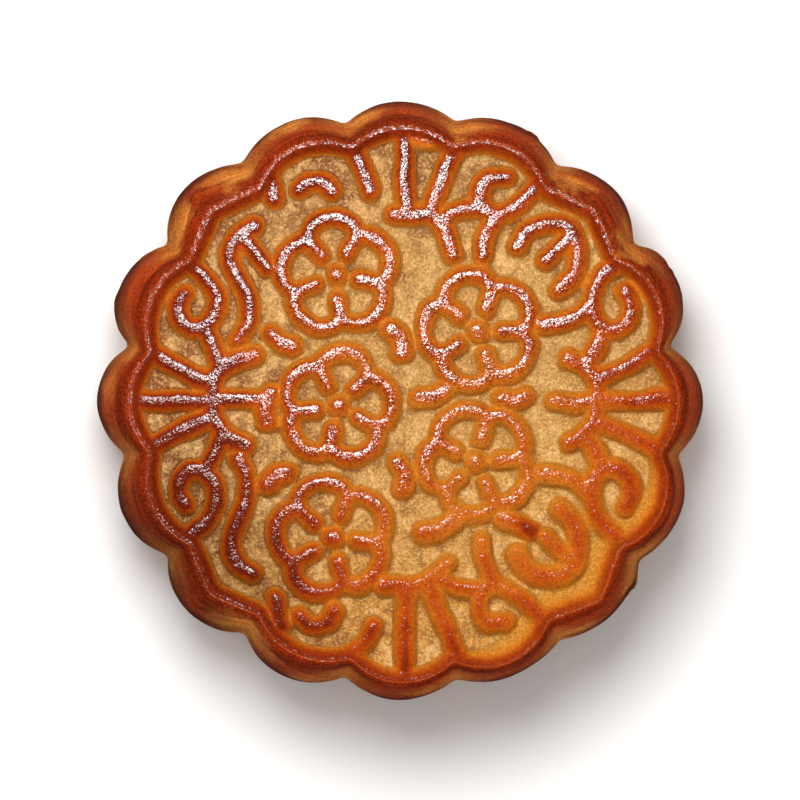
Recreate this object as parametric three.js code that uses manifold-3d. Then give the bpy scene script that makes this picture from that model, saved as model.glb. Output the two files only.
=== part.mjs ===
// A round moulded mooncake, baked in one piece and uncut: a filled cake under a thin crust.
// Its side has sixteen upright lobes, and its top is a shallow tray inside a raised rim, on which the
// mould has left raised lines: four fans, eight scrolls, two claws and two S-shaped hooks round the edge,
// and two sprigs of five-petalled blossom in the middle.
// Millimetres, +Z up. The origin is the middle of the flat base. The fans point along X and Y.
import * as THREE from "three";
import { mergeVertices } from "three/addons/utils/BufferGeometryUtils.js";
import Module from "manifold-3d";

// Driving dimensions of the cake
const LOBES = 16;
const HEIGHT = 34; // base to the top of the rim
const WAIST_REACH = 40.5; // centre to the outermost point of a lobe
const WAIST_NOTCH = 37.8; // centre to the valley between two lobes
const RIM_REACH = 36.3; // centre to the rim's crest, in the middle of a lobe
const RIM_NOTCH = 34.2; // the same, where a fan's lobe meets a scroll's
const CORNER_REACH = 35.6; // the four lobes between the fans have a rim bent like a bracket
const CORNER_NOTCH = 33.8;
const RIM_SHIFT = [0.3, -0.3]; // the top has settled a little to one side of the base
const FLOOR_DEPTH = 2.2; // rim's crest down to the tray's flat floor

// How far each lobe stands out of that true form, as the dough rose unevenly: lobe by lobe, from +X
const RIM_SWELL = [0, -0.1, 0, 0, -0.2, -0.1, 0, -0.7, -0.5, -0.9, 0, -0.4, 0.5, 0.7, 1.3, 0.7];
const WAIST_SWELL = [0.3, 0.2, 0, -0.3, -0.2, 0, 0.2, 0.2, 0.3, -0.1, -0.1, -0.2, -0.2, -0.4, 0.2, 0.2];
// A notch of the rim swells by this share of what its two lobes swell together
const NOTCH_SHARE = 1 / 3;
// How far the valley after each lobe of the side stands out
const VALLEY_SWELL = [-1.1, 0, 0.1, 0.3, 0.1, 0.5, -0.2, -0.7, -0.1, -0.3, -0.1, 0, 0.5, 0.9, 1, 0.2];

// Driving dimensions of the raised lines
const LINE = { half: 1.9, top: 0.55, rise: 1.75 }; // half width at the foot and on top, and height
const PETAL_LINE = { half: 1.75, top: 0.5, rise: 1.7 };
const LEAF = { half: 2, top: 0.75, rise: 1.7 };
const BOSS = { half: 1.9, top: 0.85, rise: 1.8 };
const SINK = 0.7; // how far a line is rooted in the floor
const STATION_STEP = 2.4; // distance between two sections along a line

const COLUMNS_PER_LOBE = 8;
const COLUMNS = LOBES * COLUMNS_PER_LOBE;
const LOBE_ANGLE = (2 * Math.PI) / LOBES;

const floorLevel = HEIGHT - FLOOR_DEPTH;

// ---------------------------------------------------------------------------------------------- outlines

// Distance from the centre to a lobe that is an arc through its reach and its two notches.
function arcLobe(offset, reach, notch) {
  const half = LOBE_ANGLE / 2;
  const centre = (reach ** 2 - notch ** 2) / (2 * (reach - notch * Math.cos(half)));
  const radius = reach - centre;
  return centre * Math.cos(offset) + Math.sqrt(radius ** 2 - (centre * Math.sin(offset)) ** 2);
}

// The same for a lobe with two straight sides and a corner in the middle.
function cornerLobe(offset, reach, notch) {
  const side = notch * Math.sin(LOBE_ANGLE / 2);
  const drop = reach - notch * Math.cos(LOBE_ANGLE / 2);
  return (reach * side) / (side * Math.cos(offset) + drop * Math.abs(Math.sin(offset)));
}

// Which lobe an angle is in, and how far it is from that lobe's middle.
function lobeAt(angle) {
  const index = Math.round(angle / LOBE_ANGLE);
  return { index: wrapped(index), offset: angle - index * LOBE_ANGLE };
}

function wrapped(index) {
  return ((index % LOBES) + LOBES) % LOBES;
}

function waistRadius(angle) {
  const { index, offset } = lobeAt(angle);
  const valley = VALLEY_SWELL[offset > 0 ? index : wrapped(index - 1)];
  return arcLobe(offset, WAIST_REACH + WAIST_SWELL[index], WAIST_NOTCH + valley);
}

// Radius of the rim's notch on the side of a lobe where the angle lies, between this lobe and the next.
function rimNotch(index, offset) {
  const next = wrapped(index + (offset > 0 ? 1 : -1));
  const notch = isCorner(index) || isCorner(next) ? CORNER_NOTCH : RIM_NOTCH;
  return notch + (RIM_SWELL[index] + RIM_SWELL[next]) * NOTCH_SHARE;
}

function isCorner(index) {
  return index % 4 === 2;
}

function rimRadius(angle) {
  const { index, offset } = lobeAt(angle);
  const notch = rimNotch(index, offset);
  const lobe = isCorner(index) ? cornerLobe : arcLobe;
  return lobe(offset, (isCorner(index) ? CORNER_REACH : RIM_REACH) + RIM_SWELL[index], notch);
}

// ----------------------------------------------------------------------------------------- the cake body

// Rings of the body, from the edge of the floor, over the rim and down to the base.
// inside: mm inside the rim's crest; outward: share of the way from the crest out to the waist.
const RINGS = [
  { inside: 1.7, level: floorLevel },
  { inside: 0.55, level: HEIGHT - 0.25 },
  { inside: 0, level: HEIGHT },
  { outward: 0.2, level: HEIGHT - 0.25 },
  { outward: 0.42, level: HEIGHT - 1.6 },
  { outward: 0.58, level: HEIGHT - 3.8 },
  { outward: 0.82, level: HEIGHT - 8.5 },
  { outward: 1.0, level: HEIGHT * 0.5 },
  { outward: 0.93, level: 8 },
  { outward: 1.0, level: 3 },
  { outward: 0.92, level: 0.8 },
  { outward: 0.74, level: 0 },
];

function ringPoint(ring, angle) {
  const crest = rimRadius(angle);
  const out = ring.outward ?? 0;
  const radius = crest - (ring.inside ?? 0) + (waistRadius(angle) - crest) * out;
  const shift = 1 - out;
  return [
    radius * Math.cos(angle) + RIM_SHIFT[0] * shift,
    radius * Math.sin(angle) + RIM_SHIFT[1] * shift,
    ring.level,
  ];
}

function bodyGeometry() {
  const positions = [];
  for (const ring of RINGS) {
    for (let column = 0; column < COLUMNS; column++) {
      positions.push(...ringPoint(ring, (column / COLUMNS) * 2 * Math.PI));
    }
  }
  const top = positions.length / 3;
  positions.push(...RIM_SHIFT, floorLevel, 0, 0, 0);
  const base = top + 1;
  const at = (ring, column) => ring * COLUMNS + (column % COLUMNS);
  const faces = [];
  for (let column = 0; column < COLUMNS; column++) {
    faces.push(top, at(0, column), at(0, column + 1));
    for (let ring = 0; ring + 1 < RINGS.length; ring++) {
      faces.push(at(ring, column), at(ring + 1, column), at(ring + 1, column + 1));
      faces.push(at(ring, column), at(ring + 1, column + 1), at(ring, column + 1));
    }
    faces.push(base, at(RINGS.length - 1, column + 1), at(RINGS.length - 1, column));
  }
  return new THREE.BufferGeometry()
    .setAttribute("position", new THREE.Float32BufferAttribute(positions, 3))
    .setIndex(faces);
}

// -------------------------------------------------------------------------------------- the raised lines

// A line's cross section at one place: its foot, wide and rooted in the floor, and its narrower top.
function section(place, tangent, foot, top, rise) {
  const side = new THREE.Vector2(-tangent.y, tangent.x);
  return [
    [foot, floorLevel - SINK],
    [top, floorLevel + rise],
    [-top, floorLevel + rise],
    [-foot, floorLevel - SINK],
  ].map(([across, level]) => [place.x + side.x * across, place.y + side.y * across, level]);
}

// The section that closes a line a little beyond its end: how far out, and what is left of its size
const CLOSING = { out: 0.8, foot: 0.5, top: 0.3, rise: 0.35 };

function closing(place, tangent, line) {
  const reach = CLOSING.out * line.half;
  return section(
    { x: place.x + tangent.x * reach, y: place.y + tangent.y * reach },
    tangent,
    line.half * CLOSING.foot,
    line.top * CLOSING.top,
    line.rise * CLOSING.rise,
  );
}

// A raised line along a smooth curve through the points.
function lineGeometry(points, line, closed = false) {
  const curve = new THREE.CatmullRomCurve3(
    points.map(([x, y]) => new THREE.Vector3(x, y, 0)),
    closed,
    "centripetal",
  );
  const count = Math.max(2, Math.round(curve.getLength() / STATION_STEP));
  const sections = [];
  for (let step = 0; step < count + (closed ? 0 : 1); step++) {
    const along = step / count;
    const tangent = curve.getTangentAt(along);
    sections.push(section(curve.getPointAt(along), tangent, line.half, line.top, line.rise));
  }
  if (!closed) {
    // The section before the start looks the other way, so its corners are put in the opposite order.
    sections.unshift(closing(curve.getPointAt(0), curve.getTangentAt(0).negate(), line).reverse());
    sections.push(closing(curve.getPointAt(1), curve.getTangentAt(1), line));
  }
  return sweptGeometry(sections, closed);
}

// A closed solid through the sections, which have four corners each.
function sweptGeometry(sections, closed) {
  const corners = 4;
  const at = (index, corner) => (index % sections.length) * corners + (corner % corners);
  const faces = [];
  for (let index = 0; index + (closed ? 0 : 1) < sections.length; index++) {
    for (let corner = 0; corner < corners; corner++) {
      faces.push(at(index, corner), at(index, corner + 1), at(index + 1, corner + 1));
      faces.push(at(index, corner), at(index + 1, corner + 1), at(index + 1, corner));
    }
  }
  if (!closed) {
    const last = sections.length - 1;
    faces.push(at(0, 0), at(0, 2), at(0, 1), at(0, 0), at(0, 3), at(0, 2));
    faces.push(at(last, 0), at(last, 1), at(last, 2), at(last, 0), at(last, 2), at(last, 3));
  }
  return new THREE.BufferGeometry()
    .setAttribute("position", new THREE.Float32BufferAttribute(sections.flat(2), 3))
    .setIndex(faces);
}

// Moves points from a frame whose X points along an angle in degrees, mirrored across that X or not.
function turned(points, degrees, mirror = 1) {
  const angle = THREE.MathUtils.degToRad(degrees);
  return points.map(([x, y]) => [
    x * Math.cos(angle) - mirror * y * Math.sin(angle),
    x * Math.sin(angle) + mirror * y * Math.cos(angle),
  ]);
}

// The lines below are drawn in a frame whose X runs outward along a fan, or along a claw.
// A fan: three spokes from the rim to a hub, whose ends are the fan's arms, and a stub that points in.
const SIDE_FAN = {
  middle: [[35.8, 0], [30.5, -0.1], [25.9, 0]],
  spoke: [[33.6, 6.6], [30.6, 4.9], [28.2, 3.8], [25.8, 2.7]],
};
const END_FAN = {
  middle: [[35.8, 0.5], [30.6, 0.6], [25, 0.8]],
  spoke: [[33.6, 7.6], [30.4, 6.1], [27.6, 4.9], [25, 3.9]],
};
const RIGHT_HUB = {
  arms: [[22.2, 5.4], [24.1, 4.5], [25.8, 2.7], [25.9, 0], [25.8, -2.7], [24.1, -4.6], [22.3, -5.7]],
  stub: [[25.8, 0], [23.4, -0.5], [20.6, -0.1]],
};
const LEFT_HUB = {
  arms: [[19.3, 5.9], [22.2, 4.9], [24.5, 3], [24.7, 0], [24.5, -2.7], [22.9, -4.7], [20.2, -6]],
  stub: [[24.7, 0], [21.8, 0.2], [19, 0.1]],
};

// A scroll beside its fan, on the +Y side: a curl that comes off the rim, a stem from the fan, a tail.
const RIGHT_SCROLL = {
  curl: [
    [28.8, 18.3], [26.6, 16.3], [25.5, 13.8], [25.6, 11.3], [26.8, 9.5], [28.7, 9.3], [30.2, 10.7],
    [30.5, 12.7], [29.7, 14.3],
  ],
  stem: [[24.4, 4.6], [25.9, 6.7], [26.8, 9.3]],
  tail: [[25.4, 13], [23.4, 11], [21.2, 10.1], [19.2, 9.8]],
};
const END_SCROLL = {
  curl: [[28.6, 18.4], [26, 15.9], [24.5, 13.1], [25.2, 11.1], [27.5, 10.5], [29.2, 11.5], [29.5, 14]],
  stem: [[23.4, 5.2], [24.8, 7], [25.3, 10.2]],
  tail: [[24.5, 13], [22.8, 11.8], [20.8, 11], [18.8, 10.8]],
};
const LEFT_SCROLL = {
  curl: [
    [27.7, 17.8], [25.5, 15.8], [24.2, 13.1], [24.6, 11.1], [26.3, 9.5], [28, 9.5], [29.1, 11],
    [29.1, 12.7], [28.3, 13.8],
  ],
  stem: [[23.6, 4.6], [24.6, 7], [25.9, 9.6]],
};

// A claw: a horseshoe open to the middle, and one finger.
const CLAW = {
  horseshoe: [
    [25.1, 3.4], [27.6, 4], [30.1, 2.9], [31.6, 1], [31.7, -1.4], [30.1, -3.4], [27.8, -4.7],
    [25, -4.7],
  ],
  finger: [[31.2, -0.7], [29, -0.7], [26.6, -0.7]],
};

// An S-shaped hook, on the lower left and, with a finger, on the upper left.
const HOOK = [
  [21.3, 7.8], [20.2, 10], [20.1, 12.4], [21.1, 15.3], [22.1, 17.7], [22.3, 19.7], [21.3, 21.7],
  [19.4, 23],
];
const HOOK_FINGER = [[-20.7, 21.2], [-19.2, 19.5], [-17.6, 17.5]];

// Where the sprigs leave no room for a whole fan or scroll, at the top and bottom on the left
const SHORTENED = [
  [[-17.2, 30.2], [-16.9, 28.5], [-16.6, 26.7]],
  [[-13.3, 27.9], [-12, 28.7], [-10.3, 28.8], [-9, 27.7]],
  [[-6.3, 33], [-4.8, 30.3], [-3.7, 27.7]],
  [[-0.8, 24.4], [1.4, 24.6], [4.1, 24.6], [5.4, 23.4], [6.4, 21.2], [7, 19.2]],
  [[-16.2, -26.4], [-16.2, -28.2], [-15.8, -30]],
  [[-13.2, -28.5], [-11.6, -29.9], [-9.6, -29.5], [-8.6, -28]],
  [[-7, -33.9], [-4.9, -32.2], [-3.6, -30]],
  [[-1.9, -24.6], [1.8, -24.6], [3.9, -23.5], [6.3, -21.5]],
];

// The lines of the edge: each is a list of points. Side 1 is the upper half and side -1 the lower.
function edgeLines() {
  const lines = [...SHORTENED, HOOK_FINGER];
  for (const side of [1, -1]) {
    for (const part of Object.values(RIGHT_SCROLL)) lines.push(turned(part, 0, side));
    for (const part of Object.values(LEFT_SCROLL)) lines.push(turned(part, 180, -side));
    for (const part of Object.values(END_SCROLL)) lines.push(turned(part, side * 90, -side));
    for (const part of Object.values(END_FAN)) lines.push(turned(part, side * 90, -side));
    for (const part of Object.values(CLAW)) lines.push(turned(part, side * 45, side));
    lines.push(turned(SIDE_FAN.spoke, 0, side), turned(SIDE_FAN.spoke, 180, side));
    lines.push(turned(HOOK, 180, -side));
  }
  lines.push(SIDE_FAN.middle, ...Object.values(RIGHT_HUB));
  lines.push(...[SIDE_FAN.middle, ...Object.values(LEFT_HUB)].map((part) => turned(part, 180, -1)));
  return lines;
}

// Five-petalled blossoms: middle, distance to a petal's tip, and turn in degrees
const BLOSSOMS = [
  { x: -8.4, y: 16.6, reach: 7.5, turn: 96 },
  { x: -8.2, y: -0.9, reach: 7.2, turn: 80 },
  { x: -9, y: -18.3, reach: 7.5, turn: 103 },
  { x: 10.4, y: 9.2, reach: 7.4, turn: 106 },
  { x: 10.2, y: -8.3, reach: 7.2, turn: 114 },
];
const PETALS = 5;
const PETAL_NOTCH = 0.72; // the valley between two petals, as a share of the reach
const SPUR_END = 0.42; // a spur runs in from the valley to this share
const PETAL_STEPS = 4;

// Leaves beside the blossoms
const LEAVES = [
  [[-17, 8.6], [-15.8, 7.6], [-14.2, 7.1]],
  [[-1.2, 9.4], [0, 8.1], [0.3, 6.2]],
  [[-17.3, 0.8], [-17.8, -1], [-17.4, -3.1]],
  [[-0.4, -8.4], [0.5, -9.9], [0.4, -11.8]],
  [[-14.8, -9.6], [-16.3, -9.9], [-17.4, -11.2]],
  [[2.6, 0.2], [4.2, 0.3], [5.8, 1.2]],
  [[13.4, 0.2], [15, -0.2], [16.6, 0.5]],
  [[3.1, -17.6], [5.1, -17.2], [6.9, -16.2]],
  [[13.6, -15.8], [15.5, -16.3], [17.2, -17.3]],
];

// The edge of a blossom: its radius swings out to each petal's tip and in to the valley beside it.
function blossomOutline({ x, y, reach, turn }) {
  const count = PETALS * PETAL_STEPS;
  return Array.from({ length: count }, (_, index) => {
    const angle = (index / count) * 2 * Math.PI;
    const inPetal = Math.abs(Math.cos((angle * PETALS) / 2));
    const radius = reach * (PETAL_NOTCH + (1 - PETAL_NOTCH) * Math.sqrt(inPetal));
    const direction = angle + THREE.MathUtils.degToRad(turn);
    return [x + radius * Math.cos(direction), y + radius * Math.sin(direction)];
  });
}

function spurs({ x, y, reach, turn }) {
  return Array.from({ length: PETALS }, (_, index) => {
    const direction = THREE.MathUtils.degToRad(turn) + ((index + 0.5) / PETALS) * 2 * Math.PI;
    return [PETAL_NOTCH, SPUR_END].map((share) => [
      x + reach * share * Math.cos(direction),
      y + reach * share * Math.sin(direction),
    ]);
  });
}

function boss({ x, y }) {
  const half = 0.15; // a very short line, so that its two round ends make a knob
  return [[x - half, y], [x + half, y]];
}

// ------------------------------------------------------------------------------------ joining the pieces

const SAME_POINT = 1e-4; // corners closer than this, in mm, are one

const wasm = await Module();
wasm.setup();

function solid(geometry) {
  const merged = mergeVertices(geometry, SAME_POINT);
  return new wasm.Manifold(
    new wasm.Mesh({
      numProp: 3,
      vertProperties: merged.attributes.position.array,
      triVerts: new Uint32Array(merged.index.array),
    }),
  );
}

// Joining leaves slivers where lines almost meet. These two sizes, in mm, say which edge counts as a
// point, and which triangle counts as flat.
const SHORT_EDGE = 0.02;
const FLAT_HEIGHT = 0.004;

const edgesOf = ([a, b, c]) => [[a, b, c], [b, c, a], [c, a, b]];

// Pulls the two ends of each short edge together, and drops the triangles that this closes.
function withoutShortEdges(points, triangles) {
  const kept = points.map((_, index) => index);
  const keptOf = (index) => (kept[index] === index ? index : keptOf(kept[index]));
  for (const [a, b] of triangles.flatMap(edgesOf)) {
    const [from, to] = [keptOf(a), keptOf(b)];
    if (from !== to && points[from].distanceTo(points[to]) < SHORT_EDGE) kept[from] = to;
  }
  const moved = triangles.map((corners) => corners.map(keptOf));
  return moved.filter(([a, b, c]) => a !== b && b !== c && c !== a);
}

// The longest edge of a triangle and its far corner, if the triangle is so low over that edge that it
// is flat.
function flatEdge(points, triangle) {
  const length = ([from, to]) => points[from].distanceTo(points[to]);
  const [longest] = edgesOf(triangle).sort((one, other) => length(other) - length(one));
  const [a, b, c] = longest.map((index) => points[index]);
  const height = (2 * new THREE.Triangle(a, b, c).getArea()) / a.distanceTo(b);
  return height < FLAT_HEIGHT ? longest : null;
}

// Swings the longest edge of each flat triangle round, to join its far corner to the neighbour's.
function withoutFlatTriangles(points, triangles) {
  const owner = new Map();
  const claim = (index) => edgesOf(triangles[index]).forEach(([a, b]) => owner.set(`${a},${b}`, index));
  triangles.forEach((_, index) => claim(index));
  for (let index = 0; index < triangles.length; index++) {
    const [a, b, far] = flatEdge(points, triangles[index]) ?? [];
    const other = owner.get(`${b},${a}`);
    if (other === undefined) continue;
    const across = triangles[other].find((corner) => corner !== a && corner !== b);
    if (owner.has(`${far},${across}`) || owner.has(`${across},${far}`)) continue;
    owner.delete(`${a},${b}`);
    owner.delete(`${b},${a}`);
    triangles[index] = [far, a, across];
    triangles[other] = [across, b, far];
    claim(index);
    claim(other);
  }
  return triangles;
}

function geometryOf(manifold) {
  const mesh = manifold.getMesh();
  const points = Array.from({ length: mesh.numVert }, (_, index) =>
    new THREE.Vector3().fromArray(mesh.vertProperties, index * mesh.numProp),
  );
  const found = Array.from({ length: mesh.numTri }, (_, index) => [
    ...mesh.triVerts.slice(3 * index, 3 * index + 3),
  ]);
  const triangles = withoutFlatTriangles(points, withoutShortEdges(points, found));
  return new THREE.BufferGeometry().setFromPoints(points).setIndex(triangles.flat());
}

const lines = [
  ...edgeLines().map((points) => lineGeometry(points, LINE)),
  ...LEAVES.map((points) => lineGeometry(points, LEAF)),
];
for (const blossom of BLOSSOMS) {
  lines.push(lineGeometry(blossomOutline(blossom), PETAL_LINE, true), lineGeometry(boss(blossom), BOSS));
  lines.push(...spurs(blossom).map((points) => lineGeometry(points, PETAL_LINE)));
}
const cake = lines.reduce((joined, line) => joined.add(solid(line)), solid(bodyGeometry()));

const crust = new THREE.MeshStandardMaterial({ color: 0xb8621f, roughness: 0.45, metalness: 0 });
const mooncake = new THREE.Mesh(geometryOf(cake), crust);
mooncake.name = "mooncake";

const group = new THREE.Group();
group.add(mooncake);

export default group;
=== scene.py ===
"""A round moulded mooncake, baked and uncut, dressed as the real cake is.

The whole crust is one piece. A smooth blank with a lobed side gets its raised lines from a Geometry Nodes
tree, which presses the lines of the mould into it, and one baked, egg-washed finish colours it. Sizes are
in millimetres and turn to metres where a mesh is made. The frame's X runs to the right and Y to the top.
"""

import logging
import math
from dataclasses import asdict, dataclass, field
from enum import Enum

import bpy
import numpy as np
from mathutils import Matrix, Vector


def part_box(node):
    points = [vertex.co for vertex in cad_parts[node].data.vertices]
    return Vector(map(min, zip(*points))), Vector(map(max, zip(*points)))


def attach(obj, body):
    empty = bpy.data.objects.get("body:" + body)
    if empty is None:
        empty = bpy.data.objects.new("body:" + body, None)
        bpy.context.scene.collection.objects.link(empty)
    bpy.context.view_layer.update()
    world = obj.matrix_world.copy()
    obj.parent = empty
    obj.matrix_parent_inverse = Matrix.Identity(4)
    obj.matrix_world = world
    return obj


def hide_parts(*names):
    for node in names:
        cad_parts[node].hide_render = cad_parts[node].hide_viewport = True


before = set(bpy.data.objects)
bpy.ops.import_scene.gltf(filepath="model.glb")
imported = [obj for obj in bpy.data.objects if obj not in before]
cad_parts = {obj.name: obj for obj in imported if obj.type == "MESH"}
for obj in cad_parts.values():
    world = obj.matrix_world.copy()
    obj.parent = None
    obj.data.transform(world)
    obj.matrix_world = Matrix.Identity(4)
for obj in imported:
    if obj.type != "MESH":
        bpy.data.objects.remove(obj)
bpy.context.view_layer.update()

LOG = logging.getLogger("mooncake")

MM = 0.001
BODY = "root"
NODE = "mooncake"

LOBES = 16
LOBE_ANGLE = 2 * math.pi / LOBES

SEED = 11.0  # which of the noise patterns is drawn
PEBBLES = 0.55  # small lumps of the floor, a millimetre

MATH = "ShaderNodeMath"
VECTOR_MATH = "ShaderNodeVectorMath"
NOISE = "ShaderNodeTexNoise"
MIX = "ShaderNodeMix"
SPREAD = "ShaderNodeMapRange"  # takes a value, its low and high, and what they turn into
SMOOTH = {"interpolation_type": "SMOOTHSTEP"}

Points = np.ndarray
Corners = list[list[float]] | Points
Colour = tuple[float, float, float, float]
Feed = bpy.types.Node | bpy.types.NodeSocket


# --------------------------------------------------------------------------------------- shared helpers


def linear(colour: str) -> Colour:
    """Turns an sRGB colour into the linear one that a shader takes.

    Args:
        colour: six hex digits after a hash sign.

    Returns:
        Linear red, green and blue, and an alpha of one.
    """
    parts = [int(colour[start : start + 2], 16) / 255 for start in (1, 3, 5)]
    red, green, blue = (
        part / 12.92 if part <= 0.04045 else ((part + 0.055) / 1.055) ** 2.4 for part in parts
    )
    return red, green, blue, 1.0


def add(
    tree: bpy.types.NodeTree, kind: str, links: dict | tuple = (), **settings: object
) -> bpy.types.Node:
    """Adds a node to a tree, with its settings and links.

    Args:
        tree: the node tree.
        kind: the node's type name.
        links: what its inputs get, in their order, or by name or number. That is a value, the socket that
            feeds it, or a node whose first output in use feeds it.
        settings: the node's own properties. `curve` gives a Float Curve's points, and `ramp` a Color
            Ramp's stops, each a place and a hex colour.

    Returns:
        The new node.
    """
    node = tree.nodes.new(kind)
    curve = settings.pop("curve", ())
    ramp = settings.pop("ramp", ())
    for name, value in settings.items():
        setattr(node, name, value)
    if curve:
        points = node.mapping.curves[0].points
        while len(points) < len(curve):
            points.new(0.5, 0.5)
        for point, place in zip(points, curve):
            point.location = place
        node.mapping.extend = "HORIZONTAL"
        node.mapping.update()
    if ramp:
        stops = node.color_ramp.elements
        while len(stops) < len(ramp):
            stops.new(1.0)
        for stop, (place, colour) in zip(stops, ramp):
            stop.position = place
            stop.color = linear(colour)
    links = links if isinstance(links, dict) else dict(enumerate(links))
    for key, value in links.items():
        if isinstance(value, bpy.types.Node):
            value = next(socket for socket in value.outputs if socket.enabled)
        if isinstance(value, bpy.types.NodeSocket):
            tree.links.new(value, node.inputs[key])
        else:
            node.inputs[key].default_value = value
    return node


def sway(
    tree: bpy.types.NodeTree, base: Feed | float, pattern: Feed, strength: Feed | float, middle: float = 0.5
) -> Feed:
    """Adds a pattern to a value, up and down from the pattern's middle.

    Args:
        tree: the node tree.
        base: the value.
        pattern: the pattern.
        strength: how much the pattern counts.
        middle: what the pattern is where it adds nothing.

    Returns:
        The sum.
    """
    swing = add(tree, MATH, (pattern, middle), operation="SUBTRACT")
    return add(tree, MATH, (swing, strength, base), operation="MULTIPLY_ADD")


def smooth_path(corners: Corners, step: float = 0.4) -> Points:
    """Runs a smooth curve (a centripetal Catmull-Rom spline) through a few points.

    Args:
        corners: the points that the curve passes through, one a row.
        step: about how far apart the new points lie.

    Returns:
        The points of the curve, one a row.
    """
    corners = np.asarray(corners, float)
    guides = np.vstack([2 * corners[0] - corners[1], corners, 2 * corners[-1] - corners[-2]])
    path = []
    for before, start, end, after in zip(guides, guides[1:], guides[2:], guides[3:]):
        lead, span, trail = (
            np.sqrt(np.linalg.norm(b - a)) for a, b in ((before, start), (start, end), (end, after))
        )
        leaving = (start - before) / lead - (end - before) / (lead + span) + (end - start) / span
        arriving = (end - start) / span - (after - start) / (span + trail) + (after - end) / trail
        count = max(2, math.ceil(np.linalg.norm(end - start) / step))
        share = (np.arange(count) / count)[:, None]
        path.append(
            (2 * share**3 - 3 * share**2 + 1) * start
            + (share**3 - 2 * share**2 + share) * leaving * span
            + (3 * share**2 - 2 * share**3) * end
            + (share**3 - share**2) * arriving * span
        )
    return np.vstack([*path, corners[-1:]])


def put(name: str, data: bpy.types.ID) -> bpy.types.Object:
    """Puts a new object in the scene, at the origin.

    Args:
        name: the object's name.
        data: the mesh, light or camera that it shows.

    Returns:
        The object.
    """
    made = bpy.data.objects.new(name, data)
    bpy.context.scene.collection.objects.link(made)
    return made


def new_shape(
    name: str, points: Points, edges: list, faces: list, marks: dict[str, Points]
) -> bpy.types.Object:
    """Makes a mesh object and puts it in the scene.

    Args:
        name: the object's name.
        points: its points in millimetres, one a row.
        edges: its edges, where it has no faces.
        faces: its faces, each a list of point numbers.
        marks: numbers to keep with its points, by name.

    Returns:
        The new object, at the origin.
    """
    mesh = bpy.data.meshes.new(name)
    mesh.from_pydata((points * MM).tolist(), edges, faces)
    for mark, values in marks.items():
        mesh.attributes.new(mark, "FLOAT", "POINT").data.foreach_set("value", values.astype(np.float32))
    return put(name, mesh)


def new_material(name: str) -> bpy.types.Material:
    """Makes a material with an empty node tree.

    Args:
        name: what it is and how it was made.

    Returns:
        The material.
    """
    material = bpy.data.materials.new(name)
    material.use_nodes = True
    material.node_tree.nodes.clear()
    return material


# ---------------------------------------------------------------------------------------- the cake body


@dataclass(frozen=True)
class LobedOutline:
    """An outline of lobes, each an arc, or two straight sides that meet in a corner.

    Attributes:
        reach: middle of the cake to the outermost point of each lobe, from the one on +X.
        notch: middle of the cake to the valley after each lobe.
        cornered: which lobes have a corner.
    """

    reach: Points
    notch: Points
    cornered: Points

    SOFTNESS = math.radians(0.7)

    def sharp_radius(self, angle: Points) -> Points:
        """Gives the outline's distance from the middle, with its sharp valleys.

        Args:
            angle: directions from the middle, in radians.

        Returns:
            The distance in each direction.
        """
        index = np.rint(angle / LOBE_ANGLE).astype(int)
        offset = angle - index * LOBE_ANGLE
        reach = self.reach[index % LOBES]
        notch = self.notch[np.where(offset > 0, index, index - 1) % LOBES]
        side = notch * math.sin(LOBE_ANGLE / 2)
        drop = reach - notch * math.cos(LOBE_ANGLE / 2)
        corner = reach * side / (side * np.cos(offset) + drop * np.abs(np.sin(offset)))
        centre = (reach**2 - notch**2) / (2 * drop)
        arc = centre * np.cos(offset) + np.sqrt((reach - centre) ** 2 - (centre * np.sin(offset)) ** 2)
        return np.where(self.cornered[index % LOBES], corner, arc)

    def radius(self, angle: Points) -> Points:
        """Gives the outline's distance from the middle, with its valleys and corners a little rounded.

        Args:
            angle: directions from the middle, in radians.

        Returns:
            The distance in each direction.
        """
        shifts = np.linspace(-2, 2, 9)
        weights = np.exp(-(shifts**2) / 2)  # a bell curve
        total = sum(
            weight * self.sharp_radius(angle + shift * self.SOFTNESS)
            for shift, weight in zip(shifts, weights)
        )
        return total / weights.sum()


# Middle of the cake to the tip of a lobe, and to the notch beside it, before it swells
RIM_REACH = 36.3
BENT_RIM_REACH = 35.6
RIM_NOTCH = 34.2
BENT_RIM_NOTCH = 33.8
WAIST_REACH = 40.5
WAIST_NOTCH = 37.8


def rim_outline() -> LobedOutline:
    """Gives the crest of the rim, uneven as the dough rose.

    Returns:
        The outline, whose four lobes between the fans are bent like a bracket.
    """
    swell = np.array([0, -0.1, 0, 0, -0.2, -0.1, 0, -0.7, -0.5, -0.9, 0, -0.4, 0.5, 0.7, 1.3, 0.7])
    cornered = np.arange(LOBES) % 4 == 2
    beside_corner = cornered | np.roll(cornered, -1)
    reach = np.where(cornered, BENT_RIM_REACH, RIM_REACH) + swell
    notch = np.where(beside_corner, BENT_RIM_NOTCH, RIM_NOTCH) + (swell + np.roll(swell, -1)) / 3
    return LobedOutline(reach, notch, cornered)


def waist_outline() -> LobedOutline:
    """Gives the widest outline of the side, uneven as the dough rose.

    Returns:
        The outline.
    """
    lobe_swell = [0.3, 0.2, 0, -0.3, -0.2, 0, 0.2, 0.2, 0.3, -0.1, -0.1, -0.2, -0.2, -0.4, 0.2, 0.2]
    valley_swell = [-1.1, 0, 0.1, 0.3, 0.1, 0.5, -0.2, -0.7, -0.1, -0.3, -0.1, 0, 0.5, 0.9, 1, 0.2]
    return LobedOutline(
        WAIST_REACH + np.array(lobe_swell), WAIST_NOTCH + np.array(valley_swell), np.zeros(LOBES, bool)
    )


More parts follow.
